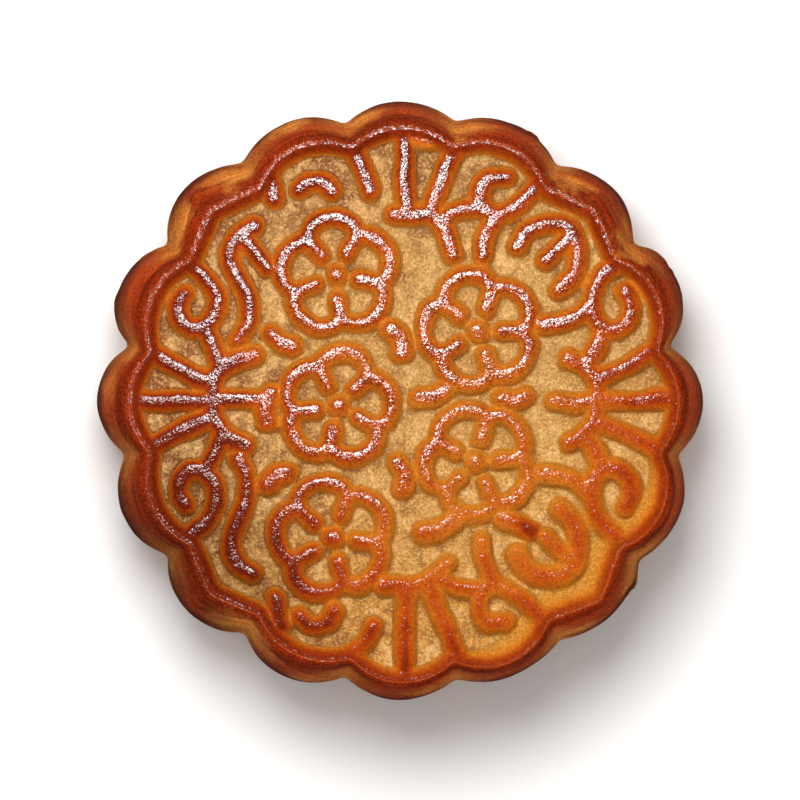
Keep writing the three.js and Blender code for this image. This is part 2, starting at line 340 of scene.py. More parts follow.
@dataclass
class CakeBlank:
    """The cake's body before the relief: a flat top at the tray's floor, and the lobed side.

    Attributes:
        height: base to the top of the rim.
        floor_depth: rim's crest down to the tray's floor.
        rim: the crest's outline.
        waist: the side's widest outline.
        rim_shift: how far the top has settled to one side of the base.
        profile: the side from the crest down: share of the way out to the waist, and level.
        rings: rings of points on the top, from the middle to the crest.
        fine_rows: rows below the crest with as many columns as the crest; the rest have half as many.
        fine_step: how far apart they lie.
        coarse_rows: rows from there to the base.
        crowding: how much closer those lie at both ends than on average, as a share.
    """

    height: float
    floor_depth: float = 2.2
    rim: LobedOutline = field(default_factory=rim_outline)
    waist: LobedOutline = field(default_factory=waist_outline)
    rim_shift: tuple[float, float] = (0.3, -0.3)
    profile: tuple[tuple[float, float], ...] = (
        (0.0, 34.0), (0.08, 33.94), (0.2, 33.66), (0.42, 32.4), (0.58, 30.2), (0.82, 25.5), (1.0, 17.0),
        (0.93, 8.0), (1.0, 3.0), (0.92, 0.8), (0.74, 0.0),
    )
    rings: int = 128
    fine_rows: int = 7
    fine_step: float = 0.32
    coarse_rows: int = 46
    crowding: float = 0.32

    @property
    def floor_level(self) -> float:
        """The level of the tray's floor."""
        return self.height - self.floor_depth

    def top(self) -> tuple[Points, Points, Points]:
        """Lays a square grid out as a disc that fills the rim's outline.

        Returns:
            The points of the top, its four-sided faces, and the numbers of the points on the crest, in
            order from +X.
        """
        side = np.arange(-self.rings, self.rings + 1)
        across, up = (axis.ravel() for axis in np.meshgrid(side, side))
        ring = np.maximum(np.abs(across), np.abs(up))
        flatter = np.abs(across) >= np.abs(up)
        with np.errstate(divide="ignore", invalid="ignore"):
            angle = np.where(flatter, up / across, 2 - across / up) * math.pi / 4
        angle = np.nan_to_num(angle) + np.where(np.where(flatter, across, up) < 0, math.pi, 0)
        radius = self.rim.radius(angle) * ring / self.rings
        points = np.column_stack([
            radius * np.cos(angle) + self.rim_shift[0],
            radius * np.sin(angle) + self.rim_shift[1],
            np.full(len(ring), self.floor_level),
        ])
        number = np.arange(len(ring)).reshape(len(side), len(side))
        faces = np.stack([number[:-1, :-1], number[:-1, 1:], number[1:, 1:], number[1:, :-1]], axis=-1)
        crest = np.flatnonzero(ring == self.rings)
        order = np.argsort(np.round(angle[crest] % (2 * math.pi), 6) % (2 * math.pi))
        return points, faces.reshape(-1, 4), crest[order]

    def side_stations(self) -> tuple[Points, Points, Points]:
        """Spaces the side's rows along its profile, close at the crest and at the foot.

        Returns:
            Each row's share of the way out, its level, and its distance from the crest along the side.
        """
        throw = self.waist.reach.mean() - self.rim.reach.mean()
        path = smooth_path(np.array(self.profile) * (throw, 1), step=0.1)
        run = np.concatenate([[0], np.cumsum(np.linalg.norm(np.diff(path, axis=0), axis=1))])
        fine = np.arange(1, self.fine_rows + 1) * self.fine_step
        share = np.linspace(0, 1, self.coarse_rows + 1)[1:]
        share -= self.crowding * np.sin(2 * math.pi * share) / (2 * math.pi)
        down = np.concatenate([fine, fine[-1] + (run[-1] - fine[-1]) * share])
        return np.interp(down, run, path[:, 0]) / throw, np.interp(down, run, path[:, 1]), down

    def row(self, angle: Points, out: float, level: float) -> Points:
        """Gives one row of the side.

        Args:
            angle: direction of each column.
            out: share of the way from the crest out to the waist.
            level: the row's height.

        Returns:
            The row's points.
        """
        crest = self.rim.radius(angle)
        radius = crest + (self.waist.radius(angle) - crest) * out
        return np.column_stack([
            radius * np.cos(angle) + self.rim_shift[0] * (1 - out),
            radius * np.sin(angle) + self.rim_shift[1] * (1 - out),
            np.full(len(angle), level),
        ])

    def build(self) -> bpy.types.Object:
        """Makes the closed blank, with faces that point out.

        Returns:
            The blank. Its points carry `top`, which is one on the top and zero on the side; `down`, the
            distance from the crest along the side; and `valley`, one where two lobes meet.
        """
        points, faces, above = self.top()
        top_count = count = len(points)
        faces = faces.tolist()
        angle = np.arange(len(above)) * 2 * math.pi / len(above)
        blocks = [points]
        angles = [np.arctan2(points[:, 1], points[:, 0])]
        downs = [np.zeros(top_count)]
        for index, (out, level, down) in enumerate(zip(*self.side_stations())):
            halved = index == self.fine_rows
            if halved:
                angle = angle[::2]
            below = count + np.arange(len(angle))
            faces += self.halving_band(above, below) if halved else self.band(above, below)
            blocks.append(self.row(angle, out, level))
            angles.append(angle)
            downs.append(np.full(len(angle), down))
            above = below
            count += len(angle)
        blocks.append(np.zeros((1, 3)))
        angles.append(np.zeros(1))
        downs.append(np.full(1, downs[-1][0]))
        faces += [[count, after, here] for here, after in zip(above.tolist(), np.roll(above, -1).tolist())]
        lobe = np.concatenate(angles) / LOBE_ANGLE
        marks = {
            "top": (np.arange(count + 1) < top_count).astype(float),
            "down": np.concatenate(downs),
            "valley": np.abs(lobe - np.rint(lobe)) * 2,
        }
        return new_shape("blank", np.vstack(blocks), [], faces, marks)

    @staticmethod
    def band(above: Points, below: Points) -> list[list[int]]:
        """Joins two rows of equal length with four-sided faces.

        Args:
            above: the point numbers of the upper row.
            below: those of the lower row.

        Returns:
            The faces, which point out.
        """
        return np.column_stack([above, below, np.roll(below, -1), np.roll(above, -1)]).tolist()

    @staticmethod
    def halving_band(above: Points, below: Points) -> list[list[int]]:
        """Joins a row to one with half as many points, with triangles.

        Args:
            above: the point numbers of the upper row.
            below: those of the lower row.

        Returns:
            The faces, which point out.
        """
        here, between, after = above[::2], above[1::2], np.roll(above[::2], -1)
        beyond = np.roll(below, -1)
        triangles = ([here, below, between], [between, below, beyond], [between, beyond, after])
        return [face for corners in triangles for face in np.column_stack(corners).tolist()]


# ----------------------------------------------------------------------------- the pattern of the mould


class Half(Enum):
    """The two halves of the top, which mirror each other: the value is the sign of Y."""

    UPPER = 1
    LOWER = -1


@dataclass(frozen=True)
class Stroke:
    """The size of a raised line.

    Attributes:
        half: half its width at the floor.
        rise: its height.
        tone: how brown it bakes, from zero to one.
    """

    half: float
    rise: float
    tone: float = 1.0


EDGE_STROKE = Stroke(1.55, 1.75)
PETAL_STROKE = Stroke(1.48, 1.7)
LEAF_STROKE = Stroke(1.65, 1.7)
BOSS_STROKE = Stroke(1.7, 1.8)
FLAP_STROKE = Stroke(1.1, 1.9, tone=0.42)


@dataclass(frozen=True)
class MouldLine:
    """A groove of the mould, which leaves a raised line on the cake.

    Attributes:
        path: points along the middle of the line.
        stroke: its width and height.
        closed: whether it returns to its start.
    """

    path: Points
    stroke: Stroke
    closed: bool = False


def turned(points: Corners, degrees: float, mirror: int = 1) -> Points:
    """Moves points from a frame whose X points along an angle.

    Args:
        points: places in that frame.
        degrees: the angle of its X.
        mirror: one, or minus one to swap its two sides first.

    Returns:
        The places in the cake's frame.
    """
    across, up = np.array(points, float).T * np.array([[1], [mirror]])
    angle = math.radians(degrees)
    return np.column_stack([
        across * math.cos(angle) - up * math.sin(angle),
        across * math.sin(angle) + up * math.cos(angle),
    ])


@dataclass(frozen=True)
class Blossom:
    """A blossom of five petals, drawn as an outline with short spurs between the petals and a boss.

    Attributes:
        x: its middle, to the right.
        y: its middle, to the top.
        reach: middle to a petal's tip.
        turn: direction of the first petal, in degrees.
    """

    x: float
    y: float
    reach: float
    turn: float

    PETALS = 5
    NOTCH = 0.72  # middle to the notch between two petals, as a share of the reach
    SPUR_END = 0.42  # middle to a spur's inner end, as a share of the reach
    BOSS_HALF = 0.15
    STEPS = 16  # points on a petal

    def at(self, share: Points, angle: Points) -> Points:
        """Gives places by their distance and direction from the middle.

        Args:
            share: the distances, as shares of the reach.
            angle: the directions from the first petal, in radians.

        Returns:
            The places.
        """
        direction = angle + math.radians(self.turn)
        radius = self.reach * share
        return np.column_stack([self.x + radius * np.cos(direction), self.y + radius * np.sin(direction)])

    def lines(self) -> list[MouldLine]:
        """Draws the blossom.

        Returns:
            Its outline, its spurs and its boss.
        """
        angle = np.arange(self.PETALS * self.STEPS) * 2 * math.pi / (self.PETALS * self.STEPS)
        swing = np.sqrt(np.abs(np.cos(angle * self.PETALS / 2)))
        outline = self.at(self.NOTCH + (1 - self.NOTCH) * swing, angle)
        found = [MouldLine(outline, PETAL_STROKE, closed=True)]
        for petal in range(self.PETALS):
            between = np.full(2, (petal + 0.5) / self.PETALS * 2 * math.pi)
            spur = self.at(np.array([self.NOTCH, self.SPUR_END]), between)
            found.append(MouldLine(spur, PETAL_STROKE))
        boss = np.array([[self.x - self.BOSS_HALF, self.y], [self.x + self.BOSS_HALF, self.y]])
        return [*found, MouldLine(boss, BOSS_STROKE)]


BLOSSOMS = (
    Blossom(-8.4, 16.6, reach=7.5, turn=96),
    Blossom(-8.2, -0.9, reach=7.2, turn=80),
    Blossom(-9, -18.3, reach=7.5, turn=103),
    Blossom(10.4, 9.2, reach=7.4, turn=106),
    Blossom(10.2, -8.3, reach=7.2, turn=114),
)


@dataclass
class MouldPattern:
    """All the lines that the mould leaves on the top.

    The points of a fan, a scroll, a claw and a hook are given in a frame whose X runs outward along it.

    Attributes:
        side_spoke: an outer spoke of the fans on the left and the right.
        side_middle: their middle spoke.
        flap: a fold of dough inside the rim.
        blister: the place that baked darkest.
        blister_reach: how far round it the lines are darker.
        blister_tone: how much browner they are in its middle.
    """

    side_spoke: list = field(default_factory=lambda: [[33.6, 6.6], [30.6, 4.9], [28.2, 3.8], [25.8, 2.7]])
    side_middle: list = field(default_factory=lambda: [[35.8, 0], [30.5, -0.1], [25.9, 0]])
    flap: list = field(default_factory=lambda: [[1.6, 34.9], [2.9, 34.0], [4.4, 33.9], [5.6, 34.5]])
    blister: tuple[float, float] = (16.8, -17.1)
    blister_reach: float = 2.7
    blister_tone: float = 1.2

    # What is left of the fans and scrolls where the sprigs leave no room for whole ones
    SHORTENED = (
        [[-17.2, 30.2], [-16.9, 28.5], [-16.6, 26.7]],
        [[-13.3, 27.9], [-12, 28.7], [-10.3, 28.8], [-9, 27.7]],
        [[-6.3, 33], [-4.8, 30.3], [-3.7, 27.7]],
        [[-0.8, 24.4], [1.4, 24.6], [4.1, 24.6], [5.4, 23.4], [6.4, 21.2], [7, 19.2]],
        [[-16.2, -26.4], [-16.2, -28.2], [-15.8, -30]],
        [[-13.2, -28.5], [-11.6, -29.9], [-9.6, -29.5], [-8.6, -28]],
        [[-7, -33.9], [-4.9, -32.2], [-3.6, -30]],
        [[-1.9, -24.6], [1.8, -24.6], [3.9, -23.5], [6.3, -21.5]],
    )
    # The leaves beside the blossoms
    LEAVES = (
        [[-17, 8.6], [-15.8, 7.6], [-14.2, 7.1]],
        [[-1.2, 9.4], [0, 8.1], [0.3, 6.2]],
        [[-17.3, 0.8], [-17.8, -1], [-17.4, -3.1]],
        [[-0.4, -8.4], [0.5, -9.9], [0.4, -11.8]],
        [[-14.8, -9.6], [-16.3, -9.9], [-17.4, -11.2]],
        [[2.6, 0.2], [4.2, 0.3], [5.8, 1.2]],
        [[13.4, 0.2], [15, -0.2], [16.6, 0.5]],
        [[3.1, -17.6], [5.1, -17.2], [6.9, -16.2]],
        [[13.6, -15.8], [15.5, -16.3], [17.2, -17.3]],
    )

    def fans(self) -> list[Corners]:
        """Draws the four fans.

        Returns:
            The spokes from the rim to each hub, the hub's arms, and the stubs that point inward.
        """
        end_middle = [[35.8, 0.5], [30.6, 0.6], [25, 0.8]]
        end_spoke = [[33.6, 7.6], [30.4, 6.1], [27.6, 4.9], [25, 3.9]]
        right_arms = [[22.2, 5.4], [24.1, 4.5], [25.8, 2.7], [25.9, 0], [25.8, -2.7], [24.1, -4.6],
                      [22.3, -5.7]]
        right_stub = [[25.8, 0], [23.4, -0.5], [20.6, -0.1]]
        left_arms = [[19.3, 5.9], [22.2, 4.9], [24.5, 3], [24.7, 0], [24.5, -2.7], [22.9, -4.7],
                     [20.2, -6]]
        left_stub = [[24.7, 0], [21.8, 0.2], [19, 0.1]]
        found = [self.side_middle, right_arms, right_stub]
        found += [turned(line, 180, -1) for line in (self.side_middle, left_arms, left_stub)]
        for half in Half:
            found += [turned(self.side_spoke, 0, half.value), turned(self.side_spoke, 180, half.value)]
            found += [turned(line, half.value * 90, -half.value) for line in (end_middle, end_spoke)]
        return found

    @staticmethod
    def scrolls() -> list[Points]:
        """Draws the eight scrolls, one on each side of a fan.

        Returns:
            The curl of each, its stem, and its tail where it has one.
        """
        right = [
            [[28.8, 18.3], [26.6, 16.3], [25.5, 13.8], [25.6, 11.3], [26.8, 9.5], [28.7, 9.3],
             [30.2, 10.7], [30.5, 12.7], [29.7, 14.3]],
            [[24.4, 4.6], [25.9, 6.7], [26.8, 9.3]],
            [[25.4, 13], [23.4, 11], [21.2, 10.1], [19.2, 9.8]],
        ]
        end = [
            [[28.6, 18.4], [26, 15.9], [24.5, 13.1], [25.2, 11.1], [27.5, 10.5], [29.2, 11.5], [29.5, 14]],
            [[23.4, 5.2], [24.8, 7], [25.3, 10.2]],
            [[24.5, 13], [22.8, 11.8], [20.8, 11], [18.8, 10.8]],
        ]
        left = [
            [[27.7, 17.8], [25.5, 15.8], [24.2, 13.1], [24.6, 11.1], [26.3, 9.5], [28, 9.5],
             [29.1, 11], [29.1, 12.7], [28.3, 13.8]],
            [[23.6, 4.6], [24.6, 7], [25.9, 9.6]],
        ]
        found = []
        for half in Half:
            found += [turned(line, 0, half.value) for line in right]
            found += [turned(line, half.value * 90, -half.value) for line in end]
            found += [turned(line, 180, -half.value) for line in left]
        return found

    @staticmethod
    def claws_and_hooks() -> list[Corners]:
        """Draws the two claws on the right and the two S-shaped hooks on the left.

        Returns:
            The horseshoe and the finger of each claw, the hooks, and the finger of the upper hook.
        """
        horseshoe = [[25.1, 3.4], [27.6, 4], [30.1, 2.9], [31.6, 1], [31.7, -1.4], [30.1, -3.4],
                     [27.8, -4.7], [25, -4.7]]
        finger = [[31.2, -0.7], [29, -0.7], [26.6, -0.7]]
        hook = [[21.3, 7.8], [20.2, 10], [20.1, 12.4], [21.1, 15.3], [22.1, 17.7], [22.3, 19.7],
                [21.3, 21.7], [19.4, 23]]
        hook_finger = [[-20.7, 21.2], [-19.2, 19.5], [-17.6, 17.5]]  # in the cake's own frame
        found = [hook_finger]
        for half in Half:
            found += [turned(line, half.value * 45, half.value) for line in (horseshoe, finger)]
            found.append(turned(hook, 180, -half.value))
        return found

    def lines(self) -> list[MouldLine]:
        """Draws the whole pattern.

        Returns:
            Every line, as a smooth path with its stroke.
        """
        edge = [*self.fans(), *self.scrolls(), *self.claws_and_hooks(), *self.SHORTENED]
        found = [MouldLine(smooth_path(path), EDGE_STROKE) for path in edge]
        found += [MouldLine(smooth_path(path), LEAF_STROKE) for path in self.LEAVES]
        found.append(MouldLine(smooth_path(self.flap), FLAP_STROKE))
        for blossom in BLOSSOMS:
            found += blossom.lines()
        return found

    def build(self, level: float) -> bpy.types.Object:
        """Makes one mesh of edges along all the lines.

        Args:
            level: the height at which they lie.

        Returns:
            The mesh. Its points carry `half`, `rise` and `tone`, those of their line's stroke.
        """
        points, edges = [], []
        marks = {"half": [], "rise": [], "tone": []}
        count = 0
        for line in self.lines():
            number = count + np.arange(len(line.path))
            pairs = np.column_stack([number, np.roll(number, -1)]).tolist()
            edges += pairs if line.closed else pairs[:-1]
            points.append(np.column_stack([line.path, np.full(len(number), level)]))
            for mark, values in marks.items():
                values.append(np.full(len(number), getattr(line.stroke, mark)))
            count += len(number)
        points = np.vstack(points)
        marks = {mark: np.concatenate(values) for mark, values in marks.items()}
        away = np.linalg.norm(points[:, :2] - self.blister, axis=1)
        marks["tone"] += self.blister_tone * np.clip(1 - away / self.blister_reach, 0, 1)
        return new_shape("mould lines", points, edges, [], marks)


@dataclass
class RimLine:
    """The rim's crest as a line of the mould, with the width of its inner slope.

    Attributes:
        blank: the cake's body.
        half: width of the slope from the crest to the floor.
        wide_half: the same where the dough has sunk away from a thin edge.
        sunk_lobe: the lobe in the middle of that stretch.
        sunk_spread: how many lobes the stretch reaches to each side.
        columns: points round the crest.
    """

    blank: CakeBlank
    half: float = 1.55
    wide_half: float = 3.4
    sunk_lobe: float = 14.0
    sunk_spread: float = 1.6
    columns: int = 1440

    def build(self) -> bpy.types.Object:
        """Makes a closed mesh of edges along the crest.

        Returns:
            The mesh. Its points carry `half`, the width of the slope, and `thin`, one where the edge is
            thin.
        """
        number = np.arange(self.columns)
        angle = number * 2 * math.pi / self.columns
        away = np.abs(angle / LOBE_ANGLE - self.sunk_lobe)
        away = np.minimum(away, LOBES - away) / self.sunk_spread
        thin = np.clip(2 - 2 * away, 0, 1)
        thin = thin * thin * (3 - 2 * thin)
        points = self.blank.row(angle, 0, self.blank.floor_level)
        edges = np.column_stack([number, np.roll(number, -1)]).tolist()
        marks = {"half": self.half + (self.wide_half - self.half) * thin, "thin": thin}
        return new_shape("rim line", points, edges, [], marks)


@dataclass(frozen=True)
class Blemish:
    """A spot of the side where the dough gave way or stood out; baked darker, and paler partly in painted
    light.

    Attributes:
        bearing: its direction from the middle, in degrees from +X.
        radius: its distance from the middle.
        level: its height over the base.
        reach: its radius.
        depth: how far it is pressed in, or with a minus how far it stands out.
        pale: how much of its brown it has kept back, from zero for none to one for all; partly painted
            light.
        burnt: how black it is, from zero to one.
    """

    bearing: float
    radius: float
    level: float
    reach: float
    depth: float = 0.0
    pale: float = 0.0
    burnt: float = 0.0

    OUTER = 1.15  # where it starts, as a share of its reach
    INNER = 0.2  # where it is full

    @property
    def place(self) -> tuple[float, float, float]:
        """The middle of the spot."""
        angle = math.radians(self.bearing)
        return self.radius * math.cos(angle), self.radius * math.sin(angle), self.level


BLEMISHES = (
    # Hollows, golden partly from the oven and partly from painted light where they face up
    Blemish(142.7, 38.2, 28.0, reach=4.8, depth=0.9, pale=1.0),
    Blemish(127.2, 37.2, 28.0, reach=5.4, depth=0.6, pale=0.9),
    Blemish(34.0, 36.6, 31.0, reach=3.6, depth=0.3, pale=0.9),
    Blemish(52.0, 36.9, 31.0, reach=3.6, depth=0.3, pale=0.8),
    Blemish(75.0, 37.9, 30.0, reach=4.2, depth=0.2, pale=0.8),
    Blemish(98.0, 38.4, 28.0, reach=4.6, depth=0.2, pale=0.9),
    Blemish(112.5, 39.3, 26.0, reach=4.4, depth=0.2, pale=0.9),
    Blemish(177.0, 38.3, 28.0, reach=4.0, pale=0.5),
    Blemish(235.5, 37.6, 29.0, reach=6.2, depth=0.5, pale=1.0),
    Blemish(253.0, 39.4, 25.0, reach=5.0, pale=0.6),
    Blemish(276.0, 38.8, 27.0, reach=4.0, pale=0.4),
    Blemish(306.0, 39.6, 25.0, reach=5.6, depth=0.3, pale=0.8),
    Blemish(326.0, 39.2, 26.0, reach=5.8, depth=0.2, pale=0.8),
    # The ridges from the corners of the bent lobes
    Blemish(135.0, 38.4, 29.5, reach=2.6, depth=-0.5, pale=-0.8),
    Blemish(225.0, 37.8, 29.5, reach=2.6, depth=-0.5, pale=-0.4),
    Blemish(315.0, 38.4, 29.5, reach=2.6, depth=-0.5, pale=-0.8),
    # Bulges
    Blemish(29.0, 40.3, 22.0, reach=4.0, depth=-0.5),
    Blemish(62.2, 40.7, 24.0, reach=2.8, depth=-0.6),
    Blemish(148.5, 40.2, 22.0, reach=2.6, depth=-0.6),
    Blemish(163.0, 40.3, 21.0, reach=4.2, depth=-0.4, burnt=0.5),
    Blemish(322.6, 39.5, 21.0, reach=2.4, depth=-0.5, burnt=0.15),
    # Spots that the oven burnt
    Blemish(320.8, 40.0, 22.0, reach=1.5, depth=1.0, burnt=1.0),
    Blemish(293.0, 39.8, 21.0, reach=4.6, burnt=0.6),
    Blemish(10.0, 37.8, 27.0, reach=4.4, burnt=0.3),
    Blemish(347.5, 38.2, 27.0, reach=4.2, burnt=0.3),
    Blemish(203.0, 39.5, 25.0, reach=5.0, burnt=0.25),
)


# ------------------------------------------------------------------------------------------- the relief


@dataclass(frozen=True)
class BlankPoint:
    """What the relief's tree knows of a point of the blank.

    Attributes:
        tree: the tree.
        given: the tree's inputs.
        place: the point's place, in metres.
        in_mm: the same in millimetres.
    """

    tree: bpy.types.NodeTree
    given: bpy.types.NodeOutputs
    place: Feed
    in_mm: Feed


@dataclass
class PressedRelief:
    """The Geometry Nodes tree that raises the mould's lines and the rim on the blank.

    Attributes:
        rim_depth: floor to the rim's crest.
        waver: how far the dough's lines stray from the mould's.
        waver_size: how far apart they stray one way and the other.
        uneven: how much a line's width and height vary, as a share.
        merge: how softly two lines run into each other.
        lump: height of the low, broad lumps on the floor.
        pebble: height of the smaller ones.
        grain: height of the sandy grain.
        dent: depth of the dents in the side.
        wrinkle: depth of the fine level wrinkles in the side.
        seed: which of the noise patterns is drawn.
    """

    rim_depth: float
    waver: float = 0.32
    waver_size: float = 5.5
    uneven: float = 0.22
    merge: float = 0.22
    lump: float = 0.3
    pebble: float = 0.32
    grain: float = 0.16
    dent: float = 0.6
    wrinkle: float = 0.4
    seed: float = SEED

    # Each slope's height or tone, by how far across it a place is, from the line's middle outward
    LINE_PROFILE = (
        (0.0, 1.0), (0.14, 0.997), (0.28, 0.982), (0.38, 0.945), (0.47, 0.865), (0.55, 0.735),
        (0.615, 0.57), (0.66, 0.4), (0.69, 0.22), (0.712, 0.08), (0.735, 0.01), (0.85, 0.0), (1.0, 0.0),
    )
    ROUND_PROFILE = (
        (0.0, 1.0), (0.1, 0.985), (0.24, 0.92), (0.38, 0.8), (0.5, 0.62), (0.6, 0.4), (0.68, 0.18),
        (0.73, 0.06), (0.79, 0.01), (0.88, 0.0), (1.0, 0.0),
    )
    THIN_PROFILE = (
        (0.0, 1.0), (0.06, 0.93), (0.16, 0.7), (0.3, 0.47), (0.5, 0.27), (0.7, 0.12), (0.86, 0.035),
        (1.0, 0.0),
    )
    TONE = (
        (0.0, 1.0), (0.14, 0.93), (0.28, 0.78), (0.42, 0.58), (0.55, 0.38), (0.67, 0.2), (0.72, 0.08),
        (0.77, 0.0), (1.0, 0.0),
    )
    PROFILE_REACH = 1.4  # how far the profiles run, in half widths
    THIN_FADE = 2.6  # how much sooner the tone fades on the thin stretch of the rim
    SETTLE = 1  # how many times the relief is evened out, as the dough was in the oven

    # How many of each there are, a millimetre
    LUMPS = 0.24
    GRAINS = 1.5
    SWELLS = 0.16
    DENTS = 0.13
    SPOT_EDGES = 0.3
    WRINKLES = (0.07, 0.07, 0.8)

    # How a distance or a tone turns into a share: its low and high, and the shares there where they
    # aren't 0 and 1. The relief is evened out inside the crest, the lumps are lower on a line and at the
    # crest, and the dents start below it
    EVENED = (0.25, 1.1)
    LUMPY = (0.0, 0.6, 1.0, 0.45)
    LUMPY_INSIDE = (0.3, 2.5)
    DENTED = (0.4, 4.0)

    STRAY_WAY = (4 * MM, 4 * MM, 0.0)  # a line strays to the side, but not up or down
    SPOT_STRAY = (6.0, 6.0, 9.0)  # how far a spot's outline strays
    MEAN = 0.345  # what the dents and wrinkles are where the side lies on its outline

    def inputs(self) -> dict[str, float]:
        """Names the tree's inputs after the fields, as "Rim depth" for `rim_depth`."""
        return {name.replace("_", " ").capitalize(): size for name, size in asdict(self).items()}

    def build(self) -> bpy.types.NodeTree:
        """Builds the tree.

        Returns:
            A tree that takes the blank, the two line meshes, the sizes and the finish, and gives the
            crust.
        """
        tree = bpy.data.node_groups.new("pressed relief", "GeometryNodeTree")
        sockets = {"Geometry": "Geometry", "Mould lines": "Object", "Rim line": "Object"}
        sockets |= {name: "Float" for name in self.inputs()}
        sockets |= {"Finish": "Material"}
        for name, kind in sockets.items():
            tree.interface.new_socket(name, in_out="INPUT", socket_type=f"NodeSocket{kind}")
        tree.interface.new_socket("Geometry", in_out="OUTPUT", socket_type="NodeSocketGeometry")

        given = add(tree, "NodeGroupInput").outputs
        place = add(tree, "GeometryNodeInputPosition")
        in_mm = add(tree, VECTOR_MATH, {0: place, "Scale": 1 / MM}, operation="SCALE")
        at = BlankPoint(tree, given, place, in_mm)

        line_height, line_share, line_edge = self.raise_lines(at)
        rim_height, rim_share, rim_edge, inside = self.raise_rim(at)
        edge = add(tree, MATH, (line_edge, rim_edge), operation="MINIMUM")
        height = self.settled(at, line_height, rim_height, inside)
        raised = self.settled(at, line_share, rim_share, inside)
        pressed, pale, burnt = self.blemish(at)
        lift = self.roughen(at, height, raised, inside)
        push = self.weather_side(at, pressed)
        offset = add(tree, VECTOR_MATH, (lift, push), operation="ADD")

        shape = given["Geometry"]
        marks = {"raised": raised, "edge": edge, "inside": inside, "pale": pale, "burnt": burnt}
        for mark, value in marks.items():
            links = {"Geometry": shape, "Name": mark, "Value": value}
            shape = add(tree, "GeometryNodeStoreNamedAttribute", links)
        shape = add(tree, "GeometryNodeSetPosition", {"Geometry": shape, "Offset": offset})
        shape = add(tree, "GeometryNodeSetShadeSmooth", {"Geometry": shape, "Shade Smooth": True})
        shape = add(tree, "GeometryNodeRealizeInstances", {"Geometry": shape})
        shape = add(tree, "GeometryNodeSetMaterial", {"Geometry": shape, "Material": given["Finish"]})
        add(tree, "NodeGroupOutput", (shape,))
        return tree

    @staticmethod
    def nearest(tree: bpy.types.NodeTree, lines: Feed, place: Feed, marks: tuple[str, ...]) -> list[Feed]:
        """Measures how far a place is from a mesh of lines, and reads the marks of the nearest line.

        Args:
            tree: the tree.
            lines: the object that holds the lines.
            place: where to measure from.
            marks: the names of the marks to read.

        Returns:
            The distance in millimetres, and the marks.
        """
        shape = add(tree, "GeometryNodeObjectInfo", {"Object": lines}).outputs["Geometry"]
        asked = {"Geometry": shape, "Sample Position": place}
        near = add(tree, "GeometryNodeProximity", asked, target_element="EDGES").outputs["Distance"]
        which = add(tree, "GeometryNodeSampleNearest", asked)
        found = [add(tree, MATH, (near, 1 / MM), operation="MULTIPLY")]
        for mark in marks:
            kept = add(tree, "GeometryNodeInputNamedAttribute", {"Name": mark})
            links = {"Geometry": shape, "Value": kept, "Index": which}
            found.append(add(tree, "GeometryNodeSampleIndex", links))
        return found

    def raise_lines(self, at: BlankPoint) -> tuple[Feed, Feed, Feed]:
        """Shapes the mould's lines, a little unsteady and uneven.

        Args:
            at: the point.

        Returns:
            The height over the floor, the tone, from zero on the floor to one on the crest, and how far
            across the line's slope the point is.
        """
        tree, given = at.tree, at.given
        closeness = add(tree, MATH, (1.0, given["Waver size"]), operation="DIVIDE")
        links = {"Vector": at.in_mm, "W": given["Seed"], "Scale": closeness, "Detail": 1.0}
        stray = add(tree, NOISE, links, noise_dimensions="4D").outputs["Color"]
        stray = add(tree, VECTOR_MATH, (stray, (0.5, 0.5, 0.5)), operation="SUBTRACT")
        stray = add(tree, VECTOR_MATH, (stray, self.STRAY_WAY), operation="MULTIPLY")
        strayed = add(tree, VECTOR_MATH, (stray, given["Waver"], at.place), operation="MULTIPLY_ADD")
        marks = ("half", "rise", "tone")
        distance, half, rise, brown = self.nearest(tree, given["Mould lines"], strayed, marks)

        links = {"Vector": at.in_mm, "W": given["Seed"], "Scale": self.SWELLS, "Detail": 2.0}
        swell = add(tree, NOISE, links, noise_dimensions="4D")
        swell = sway(tree, 1.0, swell, given["Uneven"])
        width = add(tree, MATH, (half, swell), operation="MULTIPLY")
        width = add(tree, MATH, (width, self.PROFILE_REACH), operation="MULTIPLY")
        across = add(tree, MATH, (distance, width), operation="DIVIDE")
        share = add(tree, "ShaderNodeFloatCurve", {"Value": across}, curve=self.LINE_PROFILE)
        height = add(tree, MATH, (share, rise), operation="MULTIPLY")
        low = add(tree, MATH, (swell, 1.0), operation="MINIMUM")
        height = add(tree, MATH, (height, low), operation="MULTIPLY")
        tone = add(tree, "ShaderNodeFloatCurve", {"Value": across}, curve=self.TONE)
        return height, add(tree, MATH, (tone, brown), operation="MULTIPLY"), across

    def raise_rim(self, at: BlankPoint) -> tuple[Feed, Feed, Feed, Feed]:
        """Shapes the inner slope of the rim, which is plump, or thin where the dough has sunk.

        Args:
            at: the point.

        Returns:
            The height over the floor, the tone, how far across the slope the point is, and its distance
            inside the crest.
        """
        tree = at.tree
        inside, half, thin = self.nearest(tree, at.given["Rim line"], at.place, ("half", "thin"))
        width = add(tree, MATH, (half, self.PROFILE_REACH), operation="MULTIPLY")
        across = add(tree, MATH, (inside, width), operation="DIVIDE")
        plump, sunk, tone = (
            add(tree, "ShaderNodeFloatCurve", {"Value": across}, curve=profile)
            for profile in (self.ROUND_PROFILE, self.THIN_PROFILE, self.TONE)
        )
        share = add(tree, MIX, {0: thin, 2: plump, 3: sunk})
        height = add(tree, MATH, (share, at.given["Rim depth"]), operation="MULTIPLY")
        fade = add(tree, MATH, (thin, self.THIN_FADE, 1.0), operation="MULTIPLY_ADD")
        return height, add(tree, MATH, (tone, fade), operation="POWER"), across, inside

